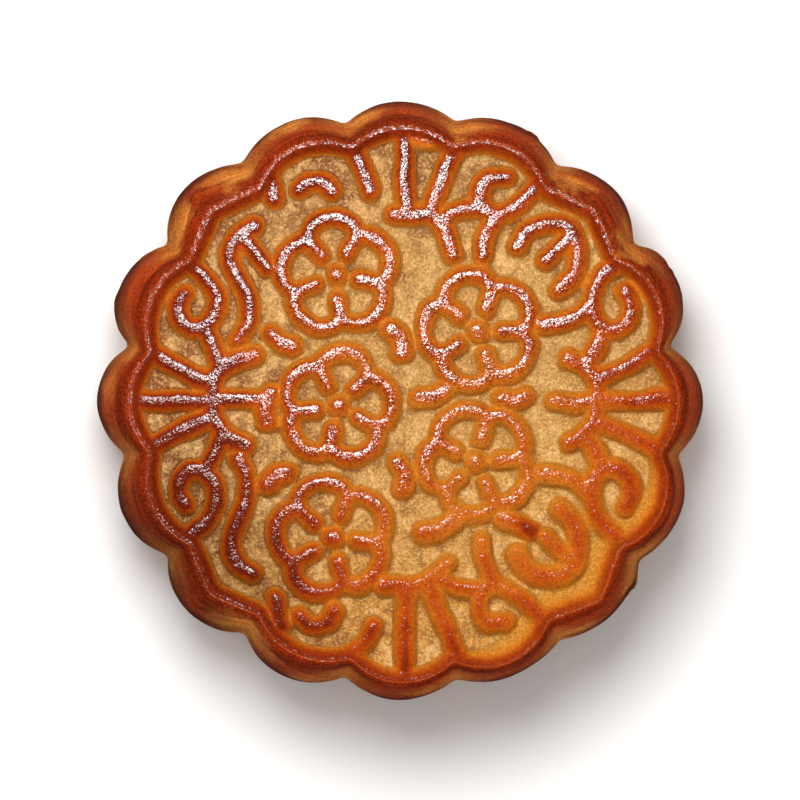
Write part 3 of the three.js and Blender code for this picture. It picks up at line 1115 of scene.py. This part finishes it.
    def settled(self, at: BlankPoint, lines: Feed, rim: Feed, inside: Feed) -> Feed:
        """Runs the lines and the rim into each other, and evens them out but for the crest itself.

        Args:
            at: the point.
            lines: a height or a tone of the mould's lines.
            rim: the same of the rim.
            inside: the distance inside the crest.

        Returns:
            The two as one.
        """
        joined = add(at.tree, MATH, (lines, rim, at.given["Merge"]), operation="SMOOTH_MAX")
        links = {"Value": joined, "Iterations": self.SETTLE, "Weight": 0.8}
        even = add(at.tree, "GeometryNodeBlurAttribute", links)
        away = add(at.tree, SPREAD, (inside, *self.EVENED), **SMOOTH)
        return add(at.tree, MIX, {0: away, 2: rim, 3: even})

    def roughen(self, at: BlankPoint, height: Feed, raised: Feed, inside: Feed) -> Feed:
        """Adds the lumps and the sandy grain of the floor to the relief.

        Args:
            at: the point.
            height: the relief's height.
            raised: its tone.
            inside: the distance inside the crest.

        Returns:
            The upward move of the top's points, in metres.
        """
        tree = at.tree
        low = add(tree, SPREAD, (raised, *self.LUMPY))
        clear = add(tree, SPREAD, (inside, *self.LUMPY_INSIDE))
        share = add(tree, MATH, (low, clear), operation="MULTIPLY")
        for closeness, name in ((self.LUMPS, "Lump"), (PEBBLES, "Pebble"), (self.GRAINS, "Grain")):
            links = {"Vector": at.in_mm, "W": at.given["Seed"], "Scale": closeness, "Detail": 2.0}
            bumps = add(tree, NOISE, links, noise_dimensions="4D")
            bumps = sway(tree, 0.0, bumps, at.given[name])
            height = add(tree, MATH, (bumps, share, height), operation="MULTIPLY_ADD")
        top = add(tree, "GeometryNodeInputNamedAttribute", {"Name": "top"})
        height = add(tree, MATH, (height, top), operation="MULTIPLY")
        height = add(tree, MATH, (height, MM), operation="MULTIPLY")
        return add(tree, "ShaderNodeCombineXYZ", {"Z": height})

    def blemish(self, at: BlankPoint) -> tuple[Feed, Feed, Feed]:
        """Adds the single spots of the side together, with ragged outlines.

        Args:
            at: the point.

        Returns:
            How far the point is pressed in, how pale it is, and how burnt.
        """
        tree = at.tree
        links = {"Vector": at.in_mm, "Scale": self.SPOT_EDGES, "Detail": 2.0, "Roughness": 0.6}
        stray = add(tree, NOISE, links).outputs["Color"]
        stray = add(tree, VECTOR_MATH, (stray, (0.5, 0.5, 0.5)), operation="SUBTRACT")
        strayed = add(tree, VECTOR_MATH, (stray, self.SPOT_STRAY, at.in_mm), operation="MULTIPLY_ADD")
        totals = [0.0, 0.0, 0.0]
        for spot in BLEMISHES:
            away = add(tree, VECTOR_MATH, (strayed, spot.place), operation="DISTANCE")
            share = add(tree, SPREAD, (away, spot.OUTER * spot.reach, spot.INNER * spot.reach), **SMOOTH)
            for index, strength in enumerate((spot.depth, spot.pale, spot.burnt)):
                if strength:
                    links = (share, strength, totals[index])
                    totals[index] = add(tree, MATH, links, operation="MULTIPLY_ADD")
        return tuple(totals)

    def weather_side(self, at: BlankPoint, pressed: Feed) -> Feed:
        """Presses soft dents and fine level wrinkles into the side.

        Args:
            at: the point.
            pressed: how far the single spots are pressed in.

        Returns:
            The inward move of the side's points, in metres.
        """
        tree, given = at.tree, at.given
        down = add(tree, "GeometryNodeInputNamedAttribute", {"Name": "down"})
        below = add(tree, SPREAD, (down, *self.DENTED), **SMOOTH)
        links = {"Vector": at.in_mm, "W": given["Seed"], "Scale": self.DENTS, "Detail": 2.0}
        dents = add(tree, NOISE, links, noise_dimensions="4D")
        total = sway(tree, 0.0, dents, given["Dent"], self.MEAN)
        level = add(tree, VECTOR_MATH, (at.in_mm, self.WRINKLES), operation="MULTIPLY")
        links = {"Vector": level, "W": given["Seed"], "Scale": 1.0, "Detail": 3.0, "Roughness": 0.6}
        wrinkles = add(tree, NOISE, links, noise_dimensions="4D")
        total = sway(tree, total, wrinkles, given["Wrinkle"], self.MEAN)
        total = add(tree, MATH, (total, pressed), operation="ADD")
        total = add(tree, MATH, (total, below), operation="MULTIPLY")
        total = add(tree, MATH, (total, -MM), operation="MULTIPLY")
        outward = add(tree, VECTOR_MATH, (at.place, (1.0, 1.0, 0.0)), operation="MULTIPLY")
        outward = add(tree, VECTOR_MATH, (outward,), operation="NORMALIZE")
        return add(tree, VECTOR_MATH, {0: outward, "Scale": total}, operation="SCALE")


# ----------------------------------------------------------------------------------------- the finishes


@dataclass(frozen=True)
class CrustPlace:
    """What the finish knows of a place on the crust.

    Attributes:
        tree: the finish's node tree.
        in_mm: the place, in millimetres.
        raised: the relief's tone, from zero on the floor to one on a crest.
        edge: how far across a line's slope it is.
        inside: distance inside the rim's crest.
        down: distance from the crest down the side.
        top: one on the top and zero on the side.
        valley: one where two lobes meet.
        pale: one on a spot that is golden, partly painted light.
        burnt: one on a spot that is burnt black.
        mottle: the pattern of the large pale and brown patches.
        blotch: the pattern of the small ones.
        sand: the pattern of the grains.
        streaks: the pattern of the side's fine level streaks.
    """

    tree: bpy.types.NodeTree
    in_mm: Feed
    raised: Feed
    edge: Feed
    inside: Feed
    down: Feed
    top: Feed
    valley: Feed
    pale: Feed
    burnt: Feed
    mottle: Feed
    blotch: Feed
    sand: Feed
    streaks: Feed


@dataclass(frozen=True)
class EggWashedCrust:
    """Golden-syrup dough, pressed in a floured mould, brushed with egg and baked.

    The egg wash lies on what stands up, which bakes to a glossy red-brown; the flanks stay orange, and the
    low ground, which the brush missed, stays pale, dry and sandy. The side, left without egg, is golden,
    and darker where it meets the oven's heat. The egg dries to a broken film, so the eye sees crowded white
    glints on the crests and none on the floor. Between the glints the colour is darkened, painted shade.
    """

    floor: str = "#a17942"
    floor_golden: str = "#b07a2f"
    floor_shade: str = "#724629"
    floor_light: str = "#be965e"
    speck: str = "#84482a"
    # Painted shade in the crease at the foot of each line
    crevice: str = "#5e2407"
    shoulder: str = "#742407"
    burnt: str = "#1e0c04"
    wall_brown: str = "#6c2604"
    # Golden of the valleys and the pale spots, partly painted light
    wall_pale: str = "#e08c34"

    # The painted shade in the crease at the foot of a line, the colours from the floor to the crests, and
    # those from the rim's crest down the side
    FOOT = (
        (0.0, 0.0), (0.62, 0.0), (0.7, 0.3), (0.735, 0.55), (0.765, 0.3), (0.82, 0.08), (1.0, 0.0),
    )
    RELIEF = (
        (0.0, "#aa7632"), (0.08, "#ad7027"), (0.2, "#ae681d"), (0.4, "#ab5611"), (0.56, "#a04508"),
        (0.72, "#953606"), (0.86, "#802704"), (1.0, "#681c03"),
    )
    WALL = (
        (0.0, "#862a05"), (0.03, "#701f04"), (0.055, "#802504"), (0.09, "#983205"), (0.14, "#a53b05"),
        (0.22, "#983405"), (0.3, "#7b2a06"), (0.38, "#5a1e05"), (0.48, "#622406"), (0.57, "#80370a"),
        (0.82, "#984b11"), (1.0, "#5f2b0b"),
    )
    WALL_RUN = (0.0, 36.0)  # from the rim's crest down the side and under the foot

    # Patterns, as many to a millimetre as the scale says: patches of 4.5 mm and of 0.9 mm, then grains
    # and flecks. Real grains of flour and sugar, 0.1 mm wide, are too fine to show, so these are drawn
    # two to four times as coarse.
    MOTTLE = {"Scale": 0.22, "Detail": 4.0, "Roughness": 0.6}
    BLOTCH = {"Scale": 1.1, "Detail": 3.0, "Roughness": 0.6}
    SAND = {"Scale": 2.6, "Detail": 2.0, "Roughness": 0.7}
    GRAIN = {"Scale": 2.8, "Detail": 1.0, "Roughness": 1.0}
    SKIN_GRAIN = {"Scale": 2.9, "Detail": 1.5, "Roughness": 0.5}
    EGG_FLECKS = {"Scale": 4.2, "Detail": 1.0, "Roughness": 0.6}
    STREAKS = {"Scale": 1.0, "Detail": 4.0, "Roughness": 0.65}
    STREAK_SPACING = (0.09, 0.09, 0.9)  # a millimetre: 11 mm long on the level, 1.1 mm from the next

    # Places and directions on the cake
    HOT_SPOT = (-32.0, -14.0, 0.0)
    COOL_SPOT = (20.0, -26.0, 0.0)
    # Middle of the painted shade on the lower left
    PAINTED_SHADE_SPOT = (-32.0, -25.0, 31.0)
    WELL_BRUSHED = (3.0, 12.0, 34.0)
    LESS_BRUSHED_WAY = (0.6, -0.8, 0.0)
    BROWNER_WAY = (-0.0065, 0.0025, 0.0)
    MORE_GOLDEN_WAY = (0.35, -1.0, 0.0)
    SMOOTHER_WAY = (1.0, 0.4, 0.0)

    # How a value turns into a share: its low and high, and the shares there where they aren't 0 and 1.
    # First where the egg lies: by the tone, down the side, at the rim, in patches and round a place
    WASHED = (0.35, 0.78)
    WASHED_SIDE = (0.6, 7.0, 0.85, 0.1)
    AT_RIM = (2.0, 1.0)
    BARED = (0.44, 0.56, 0.06)
    WORN = (0.3, 0.55, 0.55)
    THINNED = (20.0, 38.0, 1.0, 0.6)
    SPARSE = (4.0, 24.0, 0.0, 0.13)
    FLECKS = (0.43, 0.51, 0.03)
    # Where the painted shade between the glints lies
    GAPS = (0.52, 0.4)
    # The grain's contrast, the painted shade on the lower left, and the skin's roughness
    CONTRAST = (0.0, 0.3, 1.5, 1.3)
    SHADED = (4.0, 27.0, 0.68)
    ROUGH = (0.1, 0.5, 3.4, 1.0)
    # How dark the oven baked the cake: near the rim, and at its hot and cool places
    NEAR_RIM = (15.0, 36.0, 0.3, 0.85)
    HOT = (28.0, 6.0, 0.0, 0.28)
    COOL = (32.0, 6.0, 0.0, 0.28)
    # The floor's layers
    BROWN = (1.15, 1.95)
    GOLDEN = (2.0, 30.0, 0.0, 0.75)
    PALE_LUMPS = (0.47, 0.66, 0.0, 0.85)
    HOLLOWS = (0.47, 0.35, 0.0, 0.8)
    CLUMPS = (0.5, 0.36, 0.0, 0.6)
    LUMPY = (-14.0, 16.0, 1.0, 0.3)
    GRIT = (0.5, 0.34, 0.0, 0.7)
    SPECKS = (0.58, 0.72, 0.0, 0.5)
    # The lines: how far up the colours they bake, their ragged edge, and where their foot has painted shade
    BROWNING = (0.0, 1.25, 0.44, 1.37)
    RAGGED = (0.93, 0.85)
    CREASED = (1.25, 2.0)
    # The side's layers, and the brown shoulder inside the crest
    LEVEL_LINES = (0.36, 0.64, 0.7, 1.34)
    DARK_PATCHES = (0.45, 0.75, 0.0, 0.6)
    BELOW_RIM = (1.6, 4.0, 0.0, 0.7)
    STREAKY = (0.42, 0.72, 0.0, 0.7)
    SHOULDER = (0.0, 1.4, 0.75, 0.0)

    # How strongly a pattern counts
    FLECKS_AT_RIM = -0.025
    # How much less painted shade lies between sparse glints
    FEWER_GAPS = -6.0
    SIDE_CONTRAST = 2.3
    GAP_SHADE = -0.6
    BAKED_PATCHES = 1.1
    BROWN_PATCHES = 1.6
    # How patchy the painted shade at a line's foot is
    CREASE_PATCHES = 2.0
    BLOTCHY_BROWN = 0.22
    SANDY_BROWN = 0.16
    BLOTCHY_EDGE = 0.2
    SANDY_EDGE = 0.12
    STREAK_STRAY = 5.0
    VALLEY_PATCHES = 1.4
    VALLEY_FADE = 3.0

    def build(self) -> bpy.types.Material:
        """Makes the finish.

        Returns:
            The material.
        """
        material = new_material("egg-washed golden-syrup crust")
        tree = material.node_tree
        place = add(tree, "ShaderNodeTexCoord").outputs["Object"]
        in_mm = add(tree, "ShaderNodeMapping", {"Vector": place, "Scale": (1 / MM,) * 3})
        level = add(tree, VECTOR_MATH, (in_mm, self.STREAK_SPACING), operation="MULTIPLY")
        known = {
            mark: add(tree, "ShaderNodeAttribute", attribute_name=mark).outputs["Fac"]
            for mark in ("raised", "edge", "inside", "down", "top", "valley", "pale", "burnt")
        }
        patterns = {"mottle": self.MOTTLE, "blotch": self.BLOTCH, "sand": self.SAND}
        known |= {name: add(tree, NOISE, {"Vector": in_mm, **sizes}) for name, sizes in patterns.items()}
        streaks = add(tree, NOISE, {"Vector": level, **self.STREAKS})
        at = CrustPlace(tree, in_mm, streaks=streaks, **known)

        colour = self.rim_colour(at, self.top_colour(at, self.bake(at)))
        colour = add(tree, MIX, {0: at.burnt, 6: colour, 7: linear(self.burnt)}, data_type="RGBA")
        # The second share is painted shade between the flecks of egg
        wash, glint_gap_shade = self.egg_wash(at)
        colour = self.speckle(at, colour, glint_gap_shade)
        skin = self.skin(at)
        # The flecks of egg are thinner than they are drawn, so a high IOR gives each its full glint
        shader = add(
            tree, "ShaderNodeBsdfPrincipled",
            {
                "Base Color": colour, "Roughness": 0.8, "IOR": 1.45, "Specular IOR Level": 0.05,
                "Normal": skin, "Coat Weight": wash, "Coat Roughness": 0.14, "Coat IOR": 1.72,
                "Coat Normal": skin,
            },
        )
        add(tree, "ShaderNodeOutputMaterial", {"Surface": shader})
        return material

    def egg_wash(self, at: CrustPlace) -> tuple[Feed, Feed]:
        """Says how much egg lies on each place: on what stands up, in fine flecks where the crust drank it.

        Args:
            at: the place.

        Returns:
            The share of egg, and the painted shade between its flecks, which makes their glints stand out.
        """
        tree = at.tree
        washed = add(tree, SPREAD, (at.raised, *self.WASHED), **SMOOTH)
        side = add(tree, SPREAD, (at.down, *self.WASHED_SIDE))
        washed = add(tree, MIX, {0: at.top, 2: side, 3: washed})
        at_rim = add(tree, SPREAD, (at.inside, *self.AT_RIM))
        bared = add(tree, SPREAD, (at.blotch, *self.BARED))
        bared = add(tree, MIX, {0: at_rim, 2: 1.0, 3: bared})
        worn = add(tree, SPREAD, (at.mottle, *self.WORN))
        away = add(tree, VECTOR_MATH, (at.in_mm, self.WELL_BRUSHED), operation="DISTANCE")
        thinned = add(tree, SPREAD, (away, *self.THINNED))
        for share in (bared, worn, thinned):
            washed = add(tree, MATH, (washed, share), operation="MULTIPLY")

        across = add(tree, VECTOR_MATH, (at.in_mm, self.LESS_BRUSHED_WAY), operation="DOT_PRODUCT")
        sparse = add(tree, SPREAD, (across, *self.SPARSE))
        dense = add(tree, MATH, (sparse, self.FEWER_GAPS, 1.0), operation="MULTIPLY_ADD")
        flecks = add(tree, NOISE, {"Vector": at.in_mm, **self.EGG_FLECKS})
        # Painted shade: the colour is darkened where the washed top has no fleck, so the glints stand out
        between = add(tree, SPREAD, (flecks, *self.GAPS))
        for share in (washed, at.top, dense):
            between = add(tree, MATH, (between, share), operation="MULTIPLY")
        flecks = add(tree, MATH, (flecks, sparse), operation="SUBTRACT")
        flecks = add(tree, MATH, (at_rim, self.FLECKS_AT_RIM, flecks), operation="MULTIPLY_ADD")
        flecks = add(tree, SPREAD, (flecks, *self.FLECKS))
        return add(tree, MATH, (washed, flecks), operation="MULTIPLY"), between

    def speckle(self, at: CrustPlace, colour: Feed, glint_gap_shade: Feed) -> Feed:
        """Lays a fine light and dark grain on the colour, and painted shade on the lower left and between
        glints.

        Args:
            at: the place.
            colour: the colour so far.
            glint_gap_shade: the painted shade between the flecks of egg.

        Returns:
            The colour.
        """
        tree = at.tree
        contrast = add(tree, SPREAD, (at.raised, *self.CONTRAST))
        contrast = add(tree, MIX, {0: at.top, 2: self.SIDE_CONTRAST, 3: contrast})
        grain = add(tree, NOISE, {"Vector": at.in_mm, **self.GRAIN})
        grain = sway(tree, 1.0, grain, contrast)
        # Painted shade: darker round a place on the lower left of the rim, but not on the pale spots
        away = add(tree, VECTOR_MATH, (at.in_mm, self.PAINTED_SHADE_SPOT), operation="DISTANCE")
        painted_shade = add(tree, SPREAD, (away, *self.SHADED), **SMOOTH)
        painted_shade = add(tree, MATH, (painted_shade, at.pale), operation="MAXIMUM")
        # Painted shade between the glints
        painted_shade = add(tree, MATH, (glint_gap_shade, self.GAP_SHADE, painted_shade), operation="MULTIPLY_ADD")
        grain = add(tree, MATH, (grain, painted_shade), operation="MULTIPLY")
        return add(tree, "ShaderNodeHueSaturation", {"Color": colour, "Value": grain})

    def skin(self, at: CrustPlace) -> Feed:
        """Bends the surface's normal: a fine sandy grain, rougher on the floor, over soft small waves.

        Args:
            at: the place.

        Returns:
            The normal.
        """
        tree = at.tree
        rough = add(tree, SPREAD, (at.raised, *self.ROUGH))
        grain = add(tree, NOISE, {"Vector": at.in_mm, **self.SKIN_GRAIN})
        grain = add(tree, MATH, (grain, rough), operation="MULTIPLY")
        fine = add(tree, "ShaderNodeBump", {"Height": grain, "Strength": 1.0, "Distance": 0.055 * MM})
        links = {"Height": at.blotch, "Strength": 0.4, "Distance": 0.15 * MM, "Normal": fine}
        return add(tree, "ShaderNodeBump", links)

    def bake(self, at: CrustPlace) -> Feed:
        """Says how dark the oven has baked each place: more near the rim, and more on the left.

        Args:
            at: the place.

        Returns:
            A share, from zero for pale to one for dark.
        """
        tree = at.tree
        level = add(tree, VECTOR_MATH, (at.in_mm, (1.0, 1.0, 0.0)), operation="MULTIPLY")
        radius = add(tree, VECTOR_MATH, (level,), operation="LENGTH")
        near_rim = add(tree, SPREAD, (radius, *self.NEAR_RIM), **SMOOTH)
        left = add(tree, VECTOR_MATH, (at.in_mm, self.BROWNER_WAY), operation="DOT_PRODUCT")
        share = add(tree, MATH, (near_rim, left), operation="ADD")
        away = add(tree, VECTOR_MATH, (level, self.HOT_SPOT), operation="DISTANCE")
        hot = add(tree, SPREAD, (away, *self.HOT))
        share = add(tree, MATH, (share, hot), operation="ADD")
        away = add(tree, VECTOR_MATH, (level, self.COOL_SPOT), operation="DISTANCE")
        cool = add(tree, SPREAD, (away, *self.COOL))
        share = add(tree, MATH, (share, cool), operation="SUBTRACT")
        return sway(tree, share, at.mottle, self.BAKED_PATCHES)

    def floor_colour(self, at: CrustPlace, bake: Feed) -> Feed:
        """Colours the tray's floor: pale lumps and brown hollows, partly painted light and shade, with a
        grain over both.

        Args:
            at: the place.
            bake: how dark it is baked.

        Returns:
            The colour.
        """
        tree = at.tree
        shade = add(tree, MATH, (at.mottle, self.BROWN_PATCHES, bake), operation="MULTIPLY_ADD")
        brown = add(tree, SPREAD, (shade, *self.BROWN))
        along = add(tree, VECTOR_MATH, (at.in_mm, self.MORE_GOLDEN_WAY), operation="DOT_PRODUCT")
        golden = add(tree, SPREAD, (along, *self.GOLDEN))
        # The same pattern as the pebbles of the relief, so that what stands up is pale and the hollows
        # brown:
        # partly the dough's own tone, partly painted light and shade
        links = {"Vector": at.in_mm, "W": SEED, "Scale": PEBBLES, "Detail": 2.0}
        pebble = add(tree, NOISE, links, noise_dimensions="4D")
        pale = add(tree, SPREAD, (pebble, *self.PALE_LUMPS))
        hollow = add(tree, SPREAD, (pebble, *self.HOLLOWS))
        clumps = add(tree, SPREAD, (at.blotch, *self.CLUMPS))
        hollow = add(tree, MATH, (hollow, clumps), operation="MAXIMUM")
        across = add(tree, VECTOR_MATH, (at.in_mm, self.SMOOTHER_WAY), operation="DOT_PRODUCT")
        lumpy = add(tree, SPREAD, (across, *self.LUMPY))
        hollow = add(tree, MATH, (hollow, lumpy), operation="MULTIPLY")
        grit = add(tree, SPREAD, (at.sand, *self.GRIT))
        specks = add(tree, SPREAD, (at.sand, *self.SPECKS))
        layers = (
            (brown, self.floor_shade), (golden, self.floor_golden), (pale, self.floor_light),
            (hollow, self.floor_shade), (grit, self.floor_light), (specks, self.speck),
        )
        colour = linear(self.floor)
        for share, layer in layers:
            colour = add(tree, MIX, {0: share, 6: colour, 7: linear(layer)}, data_type="RGBA")
        return colour

    def top_colour(self, at: CrustPlace, bake: Feed) -> Feed:
        """Colours the top by how high it stands, with painted shade in the crease at the foot of each line.

        Args:
            at: the place.
            bake: how dark it is baked.

        Returns:
            The colour.
        """
        tree = at.tree
        reach = add(tree, SPREAD, (bake, *self.BROWNING))
        baked = add(tree, MATH, (at.raised, reach), operation="MULTIPLY")
        baked = sway(tree, baked, at.blotch, self.BLOTCHY_BROWN)
        baked = sway(tree, baked, at.sand, self.SANDY_BROWN)
        relief = add(tree, "ShaderNodeValToRGB", (baked,), ramp=self.RELIEF)
        ragged = add(tree, MATH, (at.blotch, self.BLOTCHY_EDGE, at.edge), operation="MULTIPLY_ADD")
        ragged = add(tree, MATH, (at.sand, self.SANDY_EDGE, ragged), operation="MULTIPLY_ADD")
        high = add(tree, SPREAD, (ragged, *self.RAGGED))
        floor = self.floor_colour(at, bake)
        colour = add(tree, MIX, {0: high, 6: floor, 7: relief}, data_type="RGBA")
        # Painted shade in the crease at each line's foot, in patches, and more where the crust baked darker
        foot = add(tree, "ShaderNodeFloatCurve", {"Value": at.edge}, curve=self.FOOT)
        patchy_shade = add(tree, MATH, (at.mottle, self.CREASE_PATCHES, bake), operation="MULTIPLY_ADD")
        patchy_shade = add(tree, SPREAD, (patchy_shade, *self.CREASED))
        foot = add(tree, MATH, (foot, patchy_shade), operation="MULTIPLY")
        return add(tree, MIX, {0: foot, 6: colour, 7: linear(self.crevice)}, data_type="RGBA")

    def rim_colour(self, at: CrustPlace, colour: Feed) -> Feed:
        """Colours the rim's shoulder, the side and the foot.

        Args:
            at: the place.
            colour: the colour of the top.

        Returns:
            The colour.
        """
        tree = at.tree
        strayed = sway(tree, at.down, at.streaks, self.STREAK_STRAY)
        far_down = add(tree, SPREAD, (strayed, *self.WALL_RUN))
        wall = add(tree, "ShaderNodeValToRGB", (far_down,), ramp=self.WALL)
        lines = add(tree, SPREAD, (at.streaks, *self.LEVEL_LINES))
        wall = add(tree, "ShaderNodeHueSaturation", {"Color": wall, "Value": lines})
        dark = add(tree, SPREAD, (at.mottle, *self.DARK_PATCHES))
        wall = add(tree, MIX, {0: dark, 6: wall, 7: linear(self.wall_brown)}, data_type="RGBA")
        # Golden valleys and pale spots: partly the dough's own colour, partly painted light where they face
        # up
        between = sway(tree, at.valley, at.mottle, self.VALLEY_PATCHES)
        between = add(tree, MATH, (between, self.VALLEY_FADE), operation="POWER", use_clamp=True)
        clear = add(tree, SPREAD, (at.down, *self.BELOW_RIM))
        between = add(tree, MATH, (between, clear), operation="MULTIPLY")
        between = add(tree, MATH, (between, at.pale), operation="MAXIMUM")
        streaky = add(tree, SPREAD, (at.streaks, *self.STREAKY))
        golden = add(tree, MIX, {0: streaky, 6: linear(self.wall_pale), 7: wall}, data_type="RGBA")
        wall = add(tree, MIX, {0: between, 6: wall, 7: golden}, data_type="RGBA")
        edge = add(tree, SPREAD, (at.inside, *self.SHOULDER))
        rim = add(tree, MIX, {0: edge, 6: colour, 7: linear(self.shoulder)}, data_type="RGBA")
        return add(tree, MIX, {0: at.top, 6: wall, 7: rim}, data_type="RGBA")


@dataclass(frozen=True)
class MattPaper:
    """Matt white background paper: an even, dry surface with no gloss to speak of."""

    colour: str = "#f8f7f5"

    def build(self) -> bpy.types.Material:
        """Makes the finish.

        Returns:
            The material.
        """
        material = new_material("matt white paper")
        tree = material.node_tree
        links = {"Base Color": linear(self.colour), "Roughness": 0.9, "Specular IOR Level": 0.2}
        shader = add(tree, "ShaderNodeBsdfPrincipled", links)
        add(tree, "ShaderNodeOutputMaterial", {"Surface": shader})
        return material


# ------------------------------------------------------------------------------ the cake and the studio


@dataclass
class Mooncake:
    """The whole cake: the blank, with the mould's relief on it, in its baked finish."""

    blank: CakeBlank
    pattern: MouldPattern
    finish: EggWashedCrust

    def build(self) -> bpy.types.Object:
        """Makes the crust, a plain mesh that stands for the cake's solid.

        Returns:
            The piece.
        """
        shape = self.blank.build()
        lines = self.pattern.build(self.blank.floor_level)
        rim = RimLine(self.blank).build()
        relief = PressedRelief(rim_depth=self.blank.floor_depth)
        values = {"Mould lines": lines, "Rim line": rim, "Finish": self.finish.build(), **relief.inputs()}
        press = shape.modifiers.new("pressed relief", "NODES")
        press.node_group = relief.build()
        for socket in press.node_group.interface.items_tree:
            if socket.in_out == "INPUT" and socket.name in values:
                press[socket.identifier] = values[socket.name]
        view = bpy.context.evaluated_depsgraph_get()
        mesh = bpy.data.meshes.new_from_object(shape.evaluated_get(view))
        mesh.name = "mooncake_crust"
        shape.modifiers.clear()
        for helper in (shape, lines, rim):
            bpy.data.objects.remove(helper)
        piece = put("mooncake_crust", mesh)
        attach(piece, BODY)
        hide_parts(NODE)
        return piece


@dataclass
class Studio:
    """A pale sheet under the cake, soft light, and a camera straight above it.

    Attributes:
        distance: camera to the top of the rim, in metres.
        width: what the camera's width takes in at the rim, in metres.
        sensor: the camera's sensor, in millimetres.
        nearest: the nearest thing that the camera shows, in metres.
        room_light: strength of the even light from all round.
        sheet: middle of the sheet to its sides, in metres.
    """

    distance: float = 1.0
    width: float = 0.1056
    sensor: float = 36.0
    nearest: float = 0.01
    room_light: float = 0.25
    sheet: float = 3.0

    def camera(self, level: float) -> None:
        """Puts the camera over the cake.

        Args:
            level: height of the rim, in metres.
        """
        data = bpy.data.cameras.new("camera")
        data.sensor_width = self.sensor
        data.lens = self.sensor * self.distance / self.width
        data.clip_start = self.nearest
        camera = put("camera", data)
        camera.location = (0, 0, level + self.distance)
        bpy.context.scene.camera = camera

    @staticmethod
    def lamp(
        name: str, tilt: float, bearing: float, reach: float, size: float, power: float,
        mirrored: bool = False,
    ) -> None:
        """Hangs a round soft light that faces the cake.

        Args:
            name: the light's name.
            tilt: its angle off the vertical, in degrees.
            bearing: its direction round the cake, in degrees from +X.
            reach: its distance, in metres.
            size: its diameter, in metres.
            power: its power, in watts.
            mirrored: whether a glossy surface shows it.
        """
        data = bpy.data.lights.new(name, "AREA")
        data.shape = "DISK"
        data.size = size
        data.energy = power
        lamp = put(name, data)
        lean, turn = math.radians(tilt), math.radians(bearing)
        out = reach * math.sin(lean)
        lamp.location = (out * math.cos(turn), out * math.sin(turn), reach * math.cos(lean))
        lamp.rotation_euler = (lean, 0, turn + math.pi / 2)
        lamp.visible_glossy = mirrored

    def surround(self) -> None:
        """Fills the room with even white light."""
        world = bpy.data.worlds.new("white room")
        bpy.context.scene.world = world
        world.use_nodes = True
        tree = world.node_tree
        tree.nodes.clear()
        links = {"Color": (1.0, 1.0, 1.0, 1.0), "Strength": self.room_light}
        add(tree, "ShaderNodeOutputWorld", {"Surface": add(tree, "ShaderNodeBackground", links)})
        world.cycles_visibility.glossy = False

    def floor(self) -> None:
        """Lays the pale sheet that the cake rests on."""
        side = self.sheet
        mesh = bpy.data.meshes.new("paper_floor")
        corners = [(-side, -side, 0), (side, -side, 0), (side, side, 0), (-side, side, 0)]
        mesh.from_pydata(corners, [], [(0, 1, 2, 3)])
        mesh.materials.append(MattPaper().build())
        sheet = put("paper_floor", mesh)
        sheet.visible_glossy = False

    def build(self, level: float) -> None:
        """Sets the whole studio up.

        Args:
            level: height of the rim, in metres.
        """
        bpy.context.scene.view_settings.view_transform = "Standard"
        self.camera(level)
        self.surround()
        self.lamp("key light", tilt=14, bearing=106, reach=0.26, size=0.11, power=0.64, mirrored=True)
        self.lamp("soft box", tilt=32, bearing=114, reach=1.2, size=1.1, power=3.3)
        self.lamp("ceiling", tilt=4, bearing=140, reach=1.4, size=1.8, power=4.2)
        self.lamp("fill", tilt=48, bearing=-62, reach=1.4, size=1.4, power=2.85)
        self.floor()


def main() -> None:
    """Builds the studio and the cake."""
    logging.basicConfig(level=logging.INFO, format="%(name)s: %(message)s")
    low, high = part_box(NODE)
    Studio().build(high.z)
    cake = Mooncake(CakeBlank(height=(high.z - low.z) / MM), MouldPattern(), EggWashedCrust())
    piece = cake.build()
    LOG.info("%s: %d faces", piece.name, len(piece.data.polygons))


if __name__ == "__main__":
    main()
